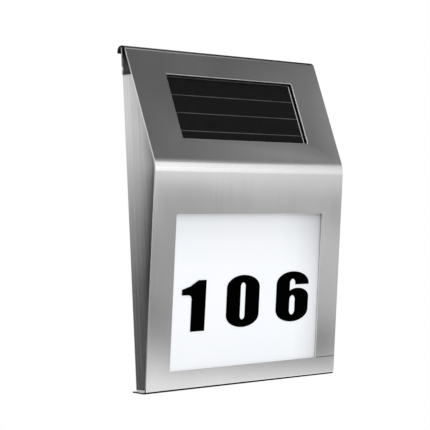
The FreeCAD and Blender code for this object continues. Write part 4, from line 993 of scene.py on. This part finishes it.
# ---------------------------------------------------------------- control board, switch and leads
# Charge controller with a chip, a drum choke, two aluminium capacitors and a slide switch whose knob is
# reached through the housing's back. Zinc plated screws hold the board on posts. Leads are 1.2 mm PVC wire.
solder_mask("mask_green", (0.02, 0.14, 0.06)).on(cad["control_board"])
zinc.on(cad["board_screws"])
component = moulded("component_black", (0.02, 0.02, 0.021), rough=0.45)
component.on(cad["controller_chip"])
for node, name, body in (("switch_body", "switch_shell", "hood"),
                         ("switch_knob", "switch_tip", "switch_knob")):
    moulding = copy_of_node(node, name)
    round_edges(moulding, width=0.12)
    component.on(moulding)
    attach(moulding, body)
    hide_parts(node)


def off_board(node, x):
    """Where a round component stands on the board: its axis points away from the board and the wall."""
    low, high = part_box(node)
    return Matrix.Translation((x, high.y, (low.z + high.z) / 2)) @ leaning(90)


component_sides = 40
choke_low, choke_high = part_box("inductor")
choke_at = off_board("inductor", (choke_low.x + choke_high.x) / 2)
choke = turned("drum_core", choke_at, component_sides, (3.8, 0.0), (4.0, 0.15), (4.0, 0.9),
               (2.9, 1.0), (2.9, 4.0), (4.0, 4.1), (4.0, 4.8), (3.8, 5.0))
component.on(choke)
wire, turns, coil_inside, coil_foot, first_turn, coil_head = 0.34, 8, 2.7, 1.02, 1.06, 3.95
coil = []
for k in range(turns):
    for radius, share in ((3.05, 0.0), (3.3, 0.25), (3.3, 0.6), (3.05, 0.9)):
        coil.append((radius, first_turn + (k + share) * wire))
winding = turned("choke_winding", choke_at, component_sides,
                 (coil_inside, coil_foot), *coil, (coil_inside, coil_head))
screw_metal("enamelled_copper", tone=0.62, tint=(1.25, 0.68, 0.40)).on(winding)
for piece, slot_name in ((choke, "component_black"), (winding, "contacts")):
    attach(piece, "hood")
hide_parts("inductor")
can = screw_metal("capacitor_can", tone=0.74)
cans_low, cans_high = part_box("capacitors")
can_radius = (cans_high.z - cans_low.z) / 2
for name, x in (("capacitor_left", cans_low.x + can_radius), ("capacitor_right", cans_high.x - can_radius)):
    piece = turned(name, off_board("capacitors", x), component_sides,
                   (3.0, 0.0), (3.15, 0.12), (3.15, 0.8), (2.92, 1.1), (2.92, 1.25),
                   (3.15, 1.55), (3.15, 7.0), (3.0, 7.35), (2.7, 7.5))
    can.on(piece)
    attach(piece, "hood")
    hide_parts("capacitors")
for shade, colour in (("red", (0.45, 0.02, 0.02)), ("black", (0.012, 0.012, 0.013))):
    insulation = moulded("pvc_" + shade, colour, rough=0.42, grain=0.008, spread=0.12)
    insulation.on(*(cad[run + "_lead_" + shade] for run in ("solar", "led", "battery")))
